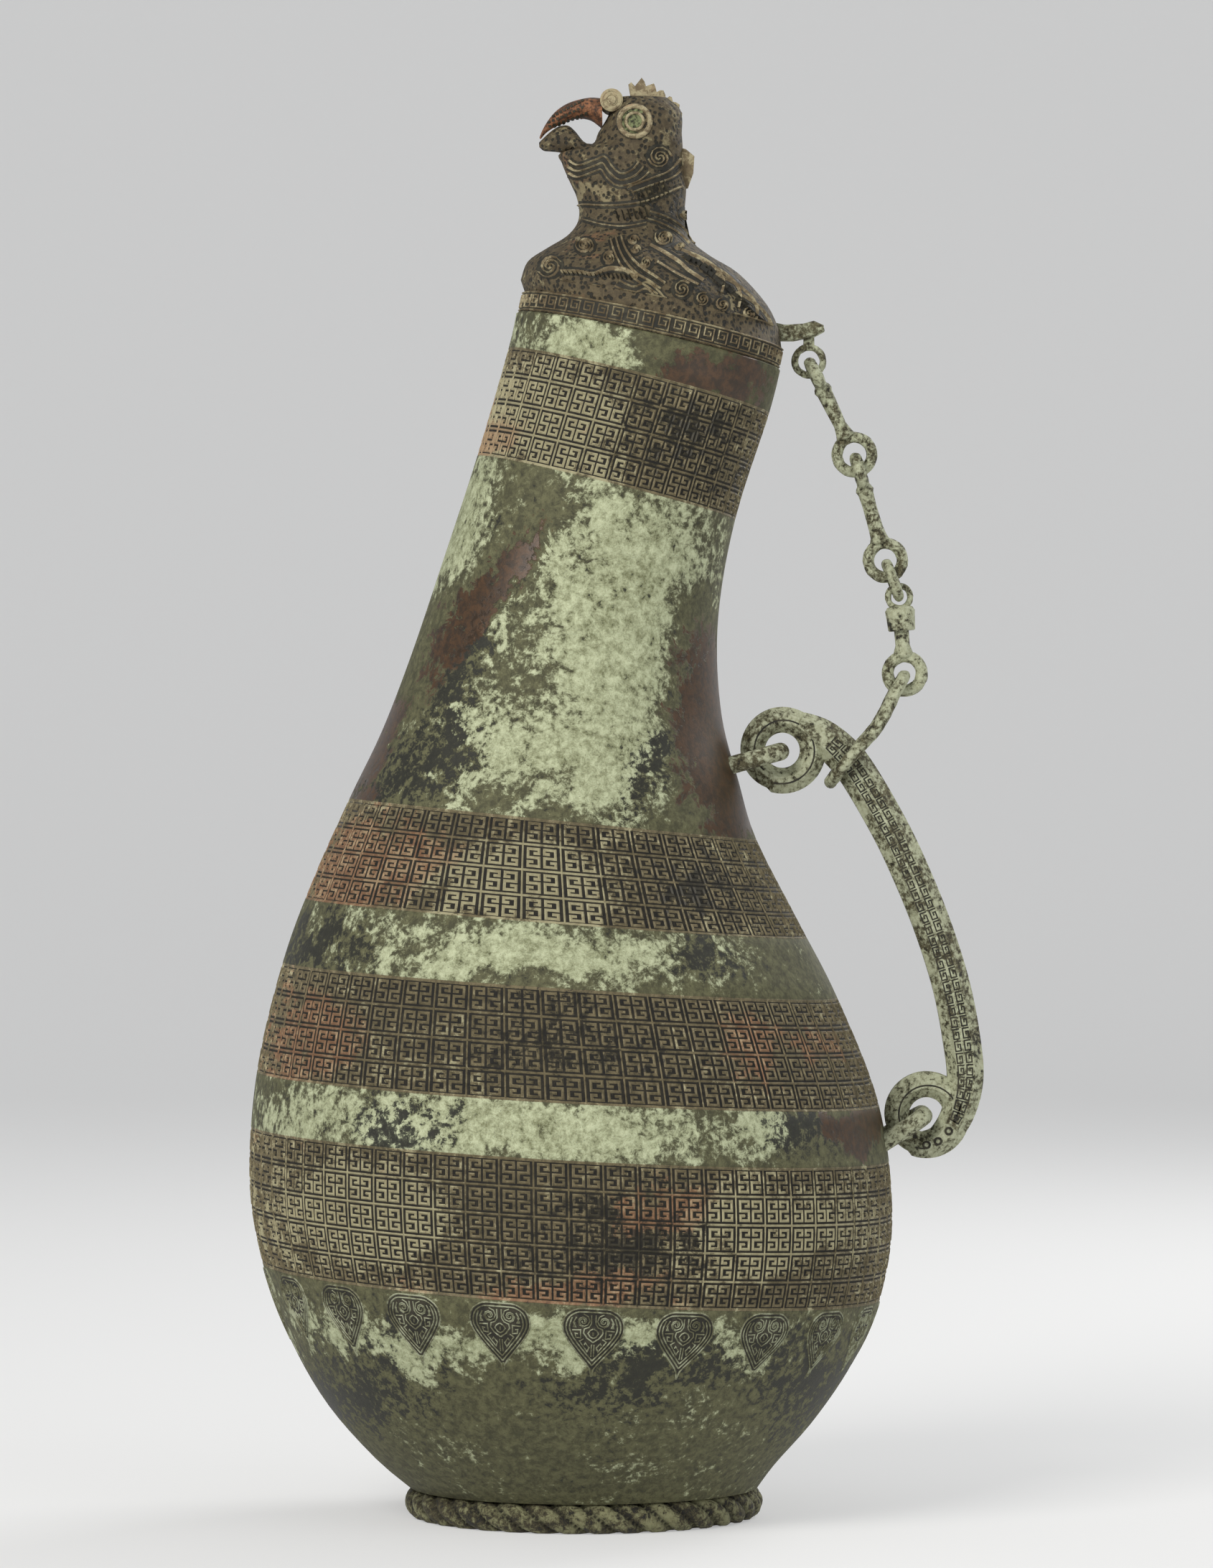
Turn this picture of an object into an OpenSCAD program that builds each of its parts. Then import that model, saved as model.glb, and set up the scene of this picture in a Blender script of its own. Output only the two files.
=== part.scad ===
// Bronze hu: a gourd-shaped wine vessel with a bird-headed cover, a side handle and a cover chain.
// The vessel stands on the XY plane with its foot centred on the origin. The beak points to -X and
// the handle and chain stand at +X, so the XZ plane cuts the whole vessel in half.

/* [Body] */
// Outside radius of the belly at its widest
belly_r = 89.6; // [88.5:0.1:90.5]
// Outside radius of the narrow part of the neck
neck_r = 37; // [36.6:0.1:37.6]
// Outside radius of the mouth
mouth_r = 37.6; // [37.4:0.1:38]
// Lean of the mouth and of the cover towards the handle, in degrees
mouth_tilt = 12.3; // [12:0.1:12.6]
// Thickness of the cast wall
wall = 3.2; // [2.8:0.1:3.6]
// Depth of the ornament bands below the plain zones, at the middle of their relief
band_depth = 0.25; // [0.15:0.05:0.4]

/* [Foot] */
// Radius from the axis to the middle of the rope ring
rope_r = 45.3; // [45:0.1:45.6]
// Mean radius of the rope itself
rope_tube = 4; // [3.8:0.1:4.2]
// Height of the bulge of each strand
strand_h = 0.55; // [0.3:0.05:0.6]
// Number of strand crests around the ring
strand_count = 36; // [30:1:40]

/* [Cover] */
// Radius of the skirt that goes into the mouth
skirt_r = 33.1; // [32.9:0.1:33.2]
// Depth of the skirt below the rim
skirt_h = 6.5; // [5:0.5:8]
// Radius of the meander rim of the cover
rim_r = 37.4; // [37.2:0.1:37.6]
// Height of the meander rim of the cover
rim_h = 6; // [5.6:0.1:6.4]
// Radius of the pin that carries the upper beak
pin_r = 1.2; // [1.1:0.05:1.3]
// Radius of the pouring channel through the throat
throat_r = 3.4; // [3:0.1:3.6]

/* [Handle] */
// Width of the handle, seen from the side
handle_w = 10.4; // [10:0.1:10.8]
// Thickness of the handle from front to back
handle_t = 9; // [8.6:0.1:9.2]
// Outside radius of the scroll at each end
scroll_r = 12.1; // [11.9:0.1:12.2]
// Radius of the eye of each scroll
scroll_eye_r = 4.9; // [4.8:0.1:5]
// Radius of the bar of each body lug
lug_bar_r = 2.5; // [2.4:0.1:2.6]

/* [Chain] */
// Radius of the bar of the long links
link_bar_r = 2.1; // [2:0.05:2.2]
// Radius of the shank of the swivel
shank_r = 2.2; // [2.1:0.05:2.25]
// Radius of the bar of the loop around the handle
loop_bar_r = 1.9; // [1.8:0.05:1.95]

/* [Hidden] */

$fn = 48;
fuse = 0.4;          // how far a part sinks into what carries it
play = 0.05;         // radial clearance of a pin or shank in its bore
rest_gap = 0.15;     // gap under the rim of the resting cover

bronze_pale = "#a9ab93";
bronze_dark = "#6d6653";
copper_red = "#a87850";

body_sides = 48;
floor_z = 8.2;       // underside of the belly, on top of the rope
floor_t = 4;
foot_r = 41.2;
foot_wall = 5;

// Stations of the body: centre x, centre z, outside radius, lean in degrees
body_path = [
    [0, floor_z, 48.5, 0], [-2.6, 16, 56.2, 1], [-4, 30, 68.4, 2.3], [-3.8, 47.5, 79, 3],
    [-3.5, 66.5, 86.3, 3.4], [-3.6, 89, belly_r, 3.2], [-4.4, 119, 86.7, 3.2],
    [-6.6, 149, 77.4, 3.7], [-8, 172, 67.4, 4.8], [-8.6, 194, 56.9, 5.8], [-6.6, 211, 50.3, 8],
    [-5, 231.5, 43.9, 10], [-0.9, 257.5, 39.2, 12.5], [6.2, 286, neck_r, 14],
    [15.2, 315.5, 37.4, 14], [18, 327, mouth_r, mouth_tilt]
];
mouth = [18, 0, 327];
bore_r = skirt_r + 0.3;
bore_h = 10;

// Lower and upper border of each ornament band, as centre heights
bands = [[65.5, 103.7], [119, 149], [166.4, 193.8], [286.2, 315.8]];
border = 0.4;        // half the width of the step at a border

// A Catmull-Rom curve through points of any dimension, with n steps between two points
function blend(a, b, c, d, t) =
    0.5 * (2 * b + (c - a) * t + (2 * a - 5 * b + 4 * c - d) * t * t
        + (3 * b - a - 3 * c + d) * t * t * t);
function smooth(p, n) = let (e = len(p) - 1) [
    for (i = [0 : e - 1]) for (k = [0 : n - 1])
        blend(p[max(i - 1, 0)], p[i], p[i + 1], p[min(i + 2, e)], k / n),
    p[e]
];
function smooth_loop(p, n) = let (e = len(p)) [
    for (i = [0 : e - 1]) for (k = [0 : n - 1])
        blend(p[(i + e - 1) % e], p[i], p[(i + 1) % e], p[(i + 2) % e], k / n)
];

// An oval ring of points: p and q are its ends in the XZ plane, w is its half-width along Y
function oval(p, q, w, sides) = let (m = (p + q) / 2, h = (q - p) / 2) [
    for (k = [0 : sides - 1]) let (a = 360 * k / sides)
        [m[0] + h[0] * cos(a), w * sin(a), m[1] + h[1] * cos(a)]
];
function tilted_ring(x, z, r, tilt, sides) =
    oval([x - r * cos(tilt), z + r * sin(tilt)], [x + r * cos(tilt), z - r * sin(tilt)], r, sides);

// A solid through a row of rings, closed by a flat face at each end
module loft(rings) {
    n = len(rings[0]);
    last = len(rings) - 1;
    polyhedron(
        points = [for (r = rings) for (p = r) p],
        faces = concat(
            [[for (k = [0 : n - 1]) k]],
            [for (i = [0 : last - 1]) for (k = [0 : n - 1]) let (m = (k + 1) % n)
                each [[i * n + k, (i + 1) * n + k, (i + 1) * n + m],
                      [i * n + k, (i + 1) * n + m, i * n + m]]],
            [[for (k = [n - 1 : -1 : 0]) last * n + k]]
        ),
        convexity = 8
    );
}

// A tube that closes on itself through a loop of rings
module closed_tube(rings) {
    n = len(rings[0]);
    e = len(rings);
    polyhedron(
        points = [for (r = rings) for (p = r) p],
        faces = [for (i = [0 : e - 1]) for (k = [0 : n - 1])
            let (j = (i + 1) % e, m = (k + 1) % n)
            each [[i * n + k, j * n + k, j * n + m], [i * n + k, j * n + m, i * n + m]]],
        convexity = 8
    );
}

module torus(r, tube) rotate_extrude() translate([r, 0]) circle(r = tube, $fn = 32);
module pipe(r_out, r_in, h) difference() {
    cylinder(r = r_out, h = h);
    translate([0, 0, -1]) cylinder(r = r_in, h = h + 2);
}
// A rod across the XZ plane at a point of it, from y0 to y1
module cross_rod(at, r, y0, y1)
    translate([at[0], y1, at[1]]) rotate([90, 0, 0]) cylinder(r = r, h = y1 - y0);
// Children are set on the mouth, with Z along the lean of the neck
module at_mouth() translate(mouth) rotate([0, mouth_tilt, 0]) children();
// Children hang from a point of the XZ plane, swung by an angle from -Z towards +X
module hang(at, swing) translate([at[0], 0, at[1]]) rotate([0, -swing, 0]) children();
// Rings that hang down, seen from the side or end on
module flat_ring(drop, r, tube) translate([0, 0, -drop]) rotate([90, 0, 0]) torus(r, tube);
module edge_ring(drop, r, tube) translate([0, 0, -drop]) rotate([0, 90, 0]) torus(r, tube);
module shank(drop, h, r1, r2) translate([0, 0, -drop - h]) cylinder(r1 = r2, r2 = r1, h = h);

body_curve = smooth(body_path, 6);
function body_part(z, i) = lookup(z, [for (s = body_curve) [s[1], s[i]]]);
function body_ring(z, inset) =
    tilted_ring(body_part(z, 0), z, body_part(z, 2) - inset, body_part(z, 3), body_sides);

function band_heights(b) = [
    b[0] - border, b[0] + border, (2 * b[0] + b[1]) / 3, (b[0] + 2 * b[1]) / 3,
    b[1] - border, b[1] + border
];
function in_band(z) = len([for (b = bands) if (z > b[0] && z < b[1]) b]) > 0;
outer_heights = concat(
    [floor_z, 13, 20, 29, 40, 52], band_heights(bands[0]), [111.5], band_heights(bands[1]),
    [157.5], band_heights(bands[2]), [203, 212, 222, 233, 245, 258, 272], band_heights(bands[3]),
    [321, mouth[2]]
);
lip_wall = mouth_r - bore_r + fuse;
inner_heights = [321, 306, 290, 272, 252, 232, 212, 190, 168, 146, 124, 102, 80, 60, 42, 28, 18];

// The cast gourd: its outside with the sunk ornament bands, the lip, and the hollow inside
module vessel_body() color(bronze_dark) {
    difference() {
        loft(concat(
            [for (z = outer_heights) body_ring(z, in_band(z) ? band_depth : 0)],
            [body_ring(mouth[2], lip_wall), body_ring(mouth[2] - bore_h, lip_wall)],
            [for (z = inner_heights) if (z < mouth[2] - bore_h) body_ring(z, wall)],
            [body_ring(floor_z + floor_t, wall + 3)]
        ));
        at_mouth() translate([0, 0, -bore_h + 2]) cylinder(r = bore_r, h = bore_h);
    }
    // Plain ring foot inside the rope
    pipe(foot_r, foot_r - foot_wall, floor_z + fuse);
}

rope_rings = 4 * strand_count;
rope_sides = 8;
strands = 3;
foot_cut = 0.5;

// Twisted rope ring around the foot, flat where it stands
module foot_ring() color(bronze_pale) difference() {
    translate([0, 0, rope_tube + strand_h - foot_cut]) closed_tube([
        for (i = [0 : rope_rings - 1]) let (a = 360 * i / rope_rings) [
            for (k = [0 : rope_sides - 1])
                let (b = 360 * k / rope_sides,
                     t = rope_tube + strand_h * cos(strands * b + strand_count * a))
                [(rope_r + t * cos(b)) * cos(a), (rope_r + t * cos(b)) * sin(a), t * sin(b)]
        ]
    ]);
    translate([0, 0, -5]) cylinder(r = rope_r + 10, h = 5);
}

// Bar centre inside each scroll, and where the legs of the staple enter the body
upper_hold = [54.6, 212.6];
upper_root = [39.5, 208.4];
lower_hold = [94.4, 111.4];
lower_root = [80.5, 102.5];
leg_y = 9.4;         // distance of a staple's leg from the XZ plane
bend_r = 4.2;        // radius of the staple's corners

// A staple cast on the body, its cross bar held in the eye of a scroll
module staple(root, hold) {
    reach = norm(hold - root);
    swing = atan2(hold[0] - root[0], root[1] - hold[1]);
    hang(root, swing) {
        for (side = [-1, 1]) {
            shank_y = side * leg_y;
            translate([0, shank_y, 0]) shank(0, reach - bend_r, lug_bar_r + 0.5, lug_bar_r);
            translate([0, side * (leg_y - bend_r), -reach + bend_r])
                rotate([0, 90, 0]) rotate([0, 0, side > 0 ? 0 : -90])
                    rotate_extrude(angle = 90) translate([bend_r, 0]) circle(r = lug_bar_r);
        }
        translate([0, 0, -reach]) rotate([90, 0, 0])
            cylinder(r = lug_bar_r, h = 2 * (leg_y - bend_r) + 0.02, center = true);
    }
}
module upper_lug() color(bronze_pale) staple(upper_root, upper_hold);
module lower_lug() color(bronze_pale) staple(lower_root, lower_hold);

upper_scroll = [55.3, 213];
lower_scroll = [95.4, 111.5];
scroll_band = scroll_r - scroll_eye_r;
chamfer = 2.6;       // across each corner of the eight-sided section

// Eight-sided section with its width along X and its thickness along Y
module handle_section(w, t) polygon([
    [w / 2, t / 2 - chamfer], [w / 2 - chamfer, t / 2], [chamfer - w / 2, t / 2],
    [-w / 2, t / 2 - chamfer], [-w / 2, chamfer - t / 2], [chamfer - w / 2, -t / 2],
    [w / 2 - chamfer, -t / 2], [w / 2, chamfer - t / 2]
]);
scroll_t = handle_t - 1;
module scroll(at, start, sweep) translate([at[0], 0, at[1]]) rotate([90, 0, 0])
    rotate([0, 0, start]) rotate_extrude(angle = sweep)
        translate([(scroll_r + scroll_eye_r) / 2, 0]) handle_section(scroll_band, scroll_t);

// Middle of the stem, from the upper scroll to the lower: x, z and width
stem_path = [
    [60, 220.3, scroll_band], [66, 217.2, 9.4], [71.6, 212.4, handle_w], [76, 207, handle_w],
    [82.6, 196, handle_w], [88.8, 184, handle_w], [96.4, 166, handle_w], [102.2, 148, handle_w],
    [105.3, 132, handle_w], [106.2, 121, 10], [104, 111.5, 9], [99.5, 105, scroll_band + 0.6],
    [94.6, 103.1, scroll_band]
];
stem_curve = smooth(stem_path, 2);
// Ring of the eight-sided section at step i, square to the stem
function stem_ring(c, i) =
    let (e = len(c) - 1, p = c[max(i - 1, 0)], q = c[min(i + 1, e)],
         d = [q[0] - p[0], q[1] - p[1]] / norm([q[0] - p[0], q[1] - p[1]]),
         u = c[i][2] / 2, v = handle_t / 2, g = chamfer)
    [for (s = [[u, g - v], [u, v - g], [u - g, v], [g - u, v],
               [-u, v - g], [-u, g - v], [g - u, -v], [u - g, -v]])
        [c[i][0] + s[0] * d[1], s[1], c[i][1] - s[0] * d[0]]];

// The loose side handle, an eight-sided bar rolled into a scroll at each end
module handle() color(bronze_pale) {
    loft([for (i = [0 : len(stem_curve) - 1]) stem_ring(stem_curve, i)]);
    scroll(upper_scroll, -105, 296);
    scroll(lower_scroll, -110, 300);
}

// Stations of the cover: left and right edge in the XZ plane, and the half-width along Y
bird_path = [
    [-17.6, 344, 54.4, 330, 36.7], [-15.7, 349, 51, 337, 33.8], [-10.7, 352.5, 43.3, 345.5, 27.2],
    [-5, 356, 35.3, 350.5, 20.5], [-2, 359.5, 29.3, 355.5, 16], [-1.3, 363, 28, 361, 14.8],
    [-2, 367, 28.3, 366, 14.6], [-3.3, 370, 28.5, 369.5, 14], [-4.7, 373, 28, 373, 13.4],
    [-6.1, 376.5, 27.4, 376.5, 12.6], [-6.6, 379.3, 27.5, 380, 11.8], [2, 381.6, 27.5, 382, 11.4],
    [4, 385, 27.3, 385, 11], [6.4, 389, 27.4, 389, 9.8], [8, 392.5, 26.5, 392, 7.8],
    [10.5, 395, 23.3, 394.7, 4.6]
];
// Stations of the hollow inside the cover, in the same form
hollow_path = [
    [-13, 346, 48.5, 333, 31], [-10, 349, 43, 340.5, 27], [-5, 351.5, 36.5, 346, 21],
    [0, 355.5, 28.5, 351, 14.5], [1.7, 360, 25, 358, 11.8], [1.6, 367, 25, 366, 11.6],
    [3, 374, 24.4, 374, 10], [6.4, 380.5, 24, 380.5, 8.6], [8.6, 386, 23.4, 386, 7]
];
cover_sides = 40;
pivot = [7.7, 393.6];
knuckle_r = 3.2;
eye_at = [14.1, 387.2];
eye_r = 4.7;

function cover_rings(path, n) = [
    for (s = smooth(path, n)) oval([s[0], s[1]], [s[2], s[3]], s[4], cover_sides)
];
function rim_ring(up, r) = tilted_ring(
    mouth[0] + up * sin(mouth_tilt), mouth[2] + up * cos(mouth_tilt), r, mouth_tilt, cover_sides);

beak_sides = 20;
// A ring across a jaw or beak that runs to -X, from its top point, bottom point and half-width
function upright(s, sides) = oval([s[2], s[3]], [s[0], s[1]], s[4], sides);

// Lower jaw, a pointed trough: top and bottom point in the XZ plane, and the half-width
jaw_path = [
    [6, 382.5, 6, 376, 7.5], [0.8, 382, 0, 377.6, 6.8], [-2.4, 385.4, -2.6, 378.6, 5.6],
    [-4.4, 387, -5, 379.2, 4.8], [-6.9, 386.8, -7.2, 379.6, 4], [-9.2, 385.4, -9.4, 379.8, 3],
    [-11.2, 383.6, -11.2, 380, 1.9], [-12.5, 382.3, -12.4, 381, 0.8]
];
// Side profile of the toothed comb
comb = [
    [13.5, 393], [12.5, 398.6], [14.3, 398.4], [16.1, 400.4], [17.4, 398.4], [19.6, 398.8],
    [20.3, 396.9], [22.2, 396.8], [22.7, 395.2], [24.4, 395.2], [24.9, 393.9], [26.8, 393],
    [27.5, 390.6], [27.3, 387.4], [25, 385]
];
comb_t = 3;
nape_tab = [[26, 381], [28.4, 380.4], [30.8, 378.4], [30.5, 373.8], [29, 369.6], [26, 369]];
nape_t = 3.2;

// A plate of an XZ outline, centred on the XZ plane
module plate(t) translate([0, t / 2, 0]) rotate([90, 0, 0]) linear_extrude(t) children();

cheek_y = 10.1;      // face of the eye disc, from the XZ plane
eye_lid = 0.6;       // bar of the raised ring around the eye
pupil = [2.9, 2.3, 0.8];

// Bosses that ring the eye on each cheek
module eyes() for (side = [-1, 1]) scale([1, side, 1])
    translate([eye_at[0], cheek_y, eye_at[1]]) rotate([-90, 0, 0]) {
        translate([0, 0, -4]) cylinder(r = eye_r, h = 4.2);
        translate([0, 0, eye_lid / 3]) torus(eye_r - 1.4 * eye_lid, eye_lid);
        translate([0, 0, 0.1]) cylinder(r1 = pupil[0], r2 = pupil[1], h = pupil[2]);
    }

hollow = cover_rings(hollow_path, 2);
hollow_r = skirt_r - wall;
rim_step = 0.5;      // the rim stands out this far from the neck of the cover
knuckle_w = 3.6;     // half-width of the knuckle
ear_gap = 0.15;
knuckle_foot = [6, 387];
throat = [14, 384.6];
throat_fall = 2;     // the throat rises towards the hollow head by this many degrees
throat_l = 18;
jaw_groove = [-9.5, 383.6, 14, 3.8];

// The cover: rim and skirt, the hollow bird, its lower jaw, comb and hinge knuckle
module lid() color(bronze_pale) difference() {
    union() {
        loft(concat(
            [for (i = [len(hollow) - 1 : -1 : 0]) hollow[i]],
            [rim_ring(rest_gap + fuse, hollow_r), rim_ring(rest_gap + fuse, rim_r - rim_step),
             rim_ring(rim_h - fuse, rim_r - rim_step)],
            cover_rings(bird_path, 2)
        ));
        at_mouth() {
            translate([0, 0, -skirt_h]) pipe(skirt_r, hollow_r + rim_step, skirt_h + 1);
            translate([0, 0, rest_gap]) pipe(rim_r, rim_r - 2, rim_h - rest_gap);
        }
        loft([for (s = smooth(jaw_path, 2)) upright(s, beak_sides)]);
        plate(comb_t) polygon(comb);
        plate(nape_t) polygon(nape_tab);
        eyes();
        cross_rod(pivot, knuckle_r, -knuckle_w, knuckle_w);
        translate([pivot[0], -knuckle_w, knuckle_foot[1]])
            cube([knuckle_foot[0], 2 * knuckle_w, pivot[1] - knuckle_foot[1] + 1]);
    }
    // Pouring way from the hollow head, through the throat and along the jaw
    translate([throat[0], 0, throat[1]]) rotate([0, -90 - throat_fall, 0])
        cylinder(r = throat_r, h = throat_l);
    translate([jaw_groove[0], -jaw_groove[3] / 2, jaw_groove[1]])
        cube([jaw_groove[2], jaw_groove[3], 8]);
    // Room for the ears of the beak, and the bore for its pin
    for (side = [-1, 1]) scale([1, side, 1])
        cross_rod(pivot, knuckle_r + 0.7, knuckle_w + ear_gap, 12);
    cross_rod(pivot, pin_r + play, -knuckle_w - 1, knuckle_w + 1);
}

tail_bar = [
    [51.5, 332.4], [56, 331.6], [61, 331.9], [64, 332.6], [66.8, 331.4], [67.2, 329.6],
    [64.6, 328.2], [58.5, 326.8], [54.5, 326.9], [52, 328]
];
tail_eye = [62.7, 321.4];
tail_eye_r = 3.9;    // to the middle of the bar of the eye
tail_eye_bar = 1.1;
tail_t = 6.4;
tail_stem = [3.2, 4];    // width and height of the stem between the tail and its eye

// The eye under the tail that the chain hangs from
module chain_lug() color(bronze_pale) {
    plate(tail_t) polygon(tail_bar);
    hang(tail_eye, 0) flat_ring(0, tail_eye_r, tail_eye_bar);
    translate([tail_eye[0] - tail_stem[0] / 2, -tail_eye_bar, tail_eye[1] + tail_eye_r])
        cube([tail_stem[0], 2 * tail_eye_bar, tail_stem[1]]);
}

// Upper beak: top and bottom point in the XZ plane, and the half-width
beak_path = [
    [5, 394.6, 5.2, 386, 5.8], [1.9, 394.8, 2.2, 388.3, 5.4], [-1.5, 394.2, -0.9, 389, 4.9],
    [-4.7, 393.1, -3.4, 388.6, 4.2], [-7.6, 391.2, -5.4, 387.7, 3.4],
    [-9.8, 388.7, -8.3, 386.5, 2.4], [-11.5, 385.9, -10.5, 385, 1.4],
    [-12.4, 383.6, -12, 383.3, 0.6]
];
beak_wall = 1.3;
beak_hollow = [for (i = [0 : 5]) let (s = beak_path[i])
    [s[0] + (i == 0 ? 1 : 0), s[1] - beak_wall, s[2] + 0.4, s[3] - 1.6, s[4] - beak_wall]];
ear_in = knuckle_w + 0.3;
ear_t = 2;
ear_web = [
    [pivot[0], pivot[1] - knuckle_r], [2.5, 388.8], [2.5, 393.6],
    [pivot[0] - 1.5, pivot[1] + knuckle_r - 0.4], pivot
];

// The hinged upper beak, hollow below, with an ear on each side of the knuckle
module upper_beak() color(copper_red) difference() {
    union() {
        loft([for (s = smooth(beak_path, 2)) upright(s, beak_sides)]);
        for (side = [-1, 1]) scale([1, side, 1]) {
            cross_rod(pivot, knuckle_r, ear_in, ear_in + ear_t);
            translate([0, ear_in + ear_t, 0]) rotate([90, 0, 0]) linear_extrude(ear_t)
                polygon(ear_web);
        }
    }
    loft([for (s = smooth(beak_hollow, 2)) upright(s, beak_sides)]);
    cross_rod(pivot, knuckle_r + 0.5, -ear_in, ear_in);
    cross_rod(pivot, pin_r, -ear_in - ear_t - 1, ear_in + ear_t + 1);
}

// The pin, fast in the ears of the beak and free in the knuckle
module beak_pin() color(copper_red)
    cross_rod(pivot, pin_r, -ear_in - ear_t - 0.4, ear_in + ear_t + 0.4);

// Long link A hangs in the tail eye: its own eye is end on, and its lower ring is flat
a_swing = 26;
a_hold = tail_eye + tail_eye_r * [sin(a_swing), -cos(a_swing)];
a_ring_drop = 25.1;
a_ring_r = 4.85;
a_ring_bar = 1.7;
link_eye_bar = 1.8;
a_eye_r = 3.6;
module link_a() color(bronze_pale) hang(a_hold, a_swing) {
    edge_ring(0.3, a_eye_r, link_eye_bar);
    shank(a_eye_r, a_ring_drop - a_ring_r - a_eye_r - 1, link_bar_r + 0.3, link_bar_r);
    shank(a_ring_drop - a_ring_r - 4.5, 4.2, link_bar_r - 0.2, 3);
    collar(a_eye_r + 1.6);
    flat_ring(a_ring_drop, a_ring_r, a_ring_bar);
}
module collar(drop) translate([0, 0, -drop]) torus(link_bar_r, 0.6);
a_ring = a_hold + a_ring_drop * [sin(a_swing), -cos(a_swing)];

// Long link B hangs in the ring of link A
b_swing = 16.3;
b_hold = a_ring + a_ring_r * [sin(b_swing), -cos(b_swing)];
b_ring_drop = 25.8;
b_ring_r = 4.75;
b_ring_bar = 1.75;
b_eye_r = 3.9;
module link_b() color(bronze_pale) hang(b_hold, b_swing) {
    edge_ring(0.1, b_eye_r, link_eye_bar);
    shank(b_eye_r, b_ring_drop - b_ring_r - b_eye_r - 1, link_bar_r, link_bar_r + 0.3);
    shank(b_ring_drop - b_ring_r - 4.5, 4.2, link_bar_r, 3);
    collar(b_eye_r + 1.6);
    flat_ring(b_ring_drop, b_ring_r, b_ring_bar);
}
b_ring = b_hold + b_ring_drop * [sin(b_swing), -cos(b_swing)];

// Short oblong link between link B and the swivel
c_swing = 20.4;
c_hold = b_ring + b_ring_r * [sin(c_swing), -cos(c_swing)];
c_bar = 1.6;
c_end_r = 3.7;
c_straight = 2.2;
c_top = 3.65;        // from the hold up to the middle of the top bar
module half_ring(r, bar) rotate_extrude(angle = 180) translate([r, 0]) circle(r = bar, $fn = 32);
module link_ring() color(bronze_pale) hang(c_hold, c_swing) translate([0, 0, c_top - c_end_r])
    rotate([90, 0, 90]) {
        half_ring(c_end_r, c_bar);
        translate([0, -c_straight, 0]) rotate([0, 0, 180]) half_ring(c_end_r, c_bar);
        for (side = [-1, 1]) translate([side * c_end_r, 0, 0]) rotate([90, 0, 0])
            cylinder(r = c_bar, h = c_straight);
    }

// Swivel: the barrel hangs by its bail in the short link, and the eye turns in the barrel
s_swing = 4.3;
bail_r = 3.1;
bail_bar = 1;
s_drop = 3.03;       // from the hold of the short link to the bar of the bail
s_hold = c_hold + s_drop * [sin(c_swing), -cos(c_swing)];
s_eye = s_hold + bail_r * [sin(c_swing), -cos(c_swing)];
barrel_h = 9.6;
barrel_top = 2.6;
shank_bore = shank_r + play;
head_r = 2.9;
lip = 1.6;
module swivel_barrel() color(bronze_pale) hang(s_eye, s_swing) {
    flat_ring(0, bail_r, bail_bar);
    rotate([180, 0, 0]) rotate_extrude() polygon([
        [0, barrel_top], [3.4, barrel_top], [4.4, barrel_top + 1.2], [4.2, barrel_top + 2.6],
        [3.9, barrel_h], [shank_bore, barrel_h], [shank_bore, barrel_h - lip],
        [head_r + 0.3, barrel_h - lip], [head_r + 0.3, barrel_top + 1.6], [0, barrel_top + 1.6]
    ]);
}
s_ring_drop = 21.4;
s_ring_r = 4.75;
s_ring_bar = 1.85;
module swivel_eye() color(bronze_pale) hang(s_eye, s_swing) {
    shank(barrel_top + 1.9, barrel_h - lip - barrel_top - 2.2, head_r, head_r);
    shank(barrel_h - lip - 1, s_ring_drop - s_ring_r - barrel_h + lip + 1, shank_r, shank_r);
    shank(s_ring_drop - s_ring_r - 4, 3.6, shank_r, 3);
    flat_ring(s_ring_drop, s_ring_r, s_ring_bar);
}

// Middle of one side of the loop around the handle, from its top bend to its lower bend: x, y, z
loop_path = [
    [89.2, 0, 233.6], [88.6, 3, 232.6], [87.2, 4.4, 230.1], [85.2, 5.2, 226.2], [83, 6.2, 221.8],
    [79.9, 7.2, 217.4], [76, 7.6, 213.2], [72, 7.2, 208.6], [69.5, 4, 205.2], [68.7, 0, 204.1]
];
far_side = [for (i = [len(loop_path) - 2 : -1 : 1])
    [loop_path[i][0], -loop_path[i][1], loop_path[i][2]]];
loop_points = smooth_loop(concat(loop_path, far_side), 2);
function cross_ring(p, d, r, sides) =
    let (u = cross(d, [0.68, 0, -0.73]), n = u / norm(u), v = cross(n, d))
    [for (k = [0 : sides - 1]) p + r * (cos(360 * k / sides) * n + sin(360 * k / sides) * v)];

// The loop that ties the chain to the handle
module handle_link() color(bronze_pale) closed_tube([
    for (i = [0 : len(loop_points) - 1])
        let (e = len(loop_points), d = loop_points[(i + 1) % e] - loop_points[(i + e - 1) % e])
        cross_ring(loop_points[i], d / norm(d), loop_bar_r, 10)
]);

vessel_body();
foot_ring();
upper_lug();
lower_lug();
handle();
lid();
chain_lug();
upper_beak();
beak_pin();
link_a();
link_b();
link_ring();
swivel_barrel();
swivel_eye();
handle_link();
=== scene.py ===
"""Looks of the bronze hu: a gourd-shaped wine vessel with a bird-headed cover, a chain and a
scroll handle."""
import math

import bmesh
import bpy
import numpy as np
from bpy.props import FloatProperty, FloatVectorProperty, IntProperty, PointerProperty
from bpy.types import Operator, Panel, PropertyGroup
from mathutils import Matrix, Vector, noise


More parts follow.
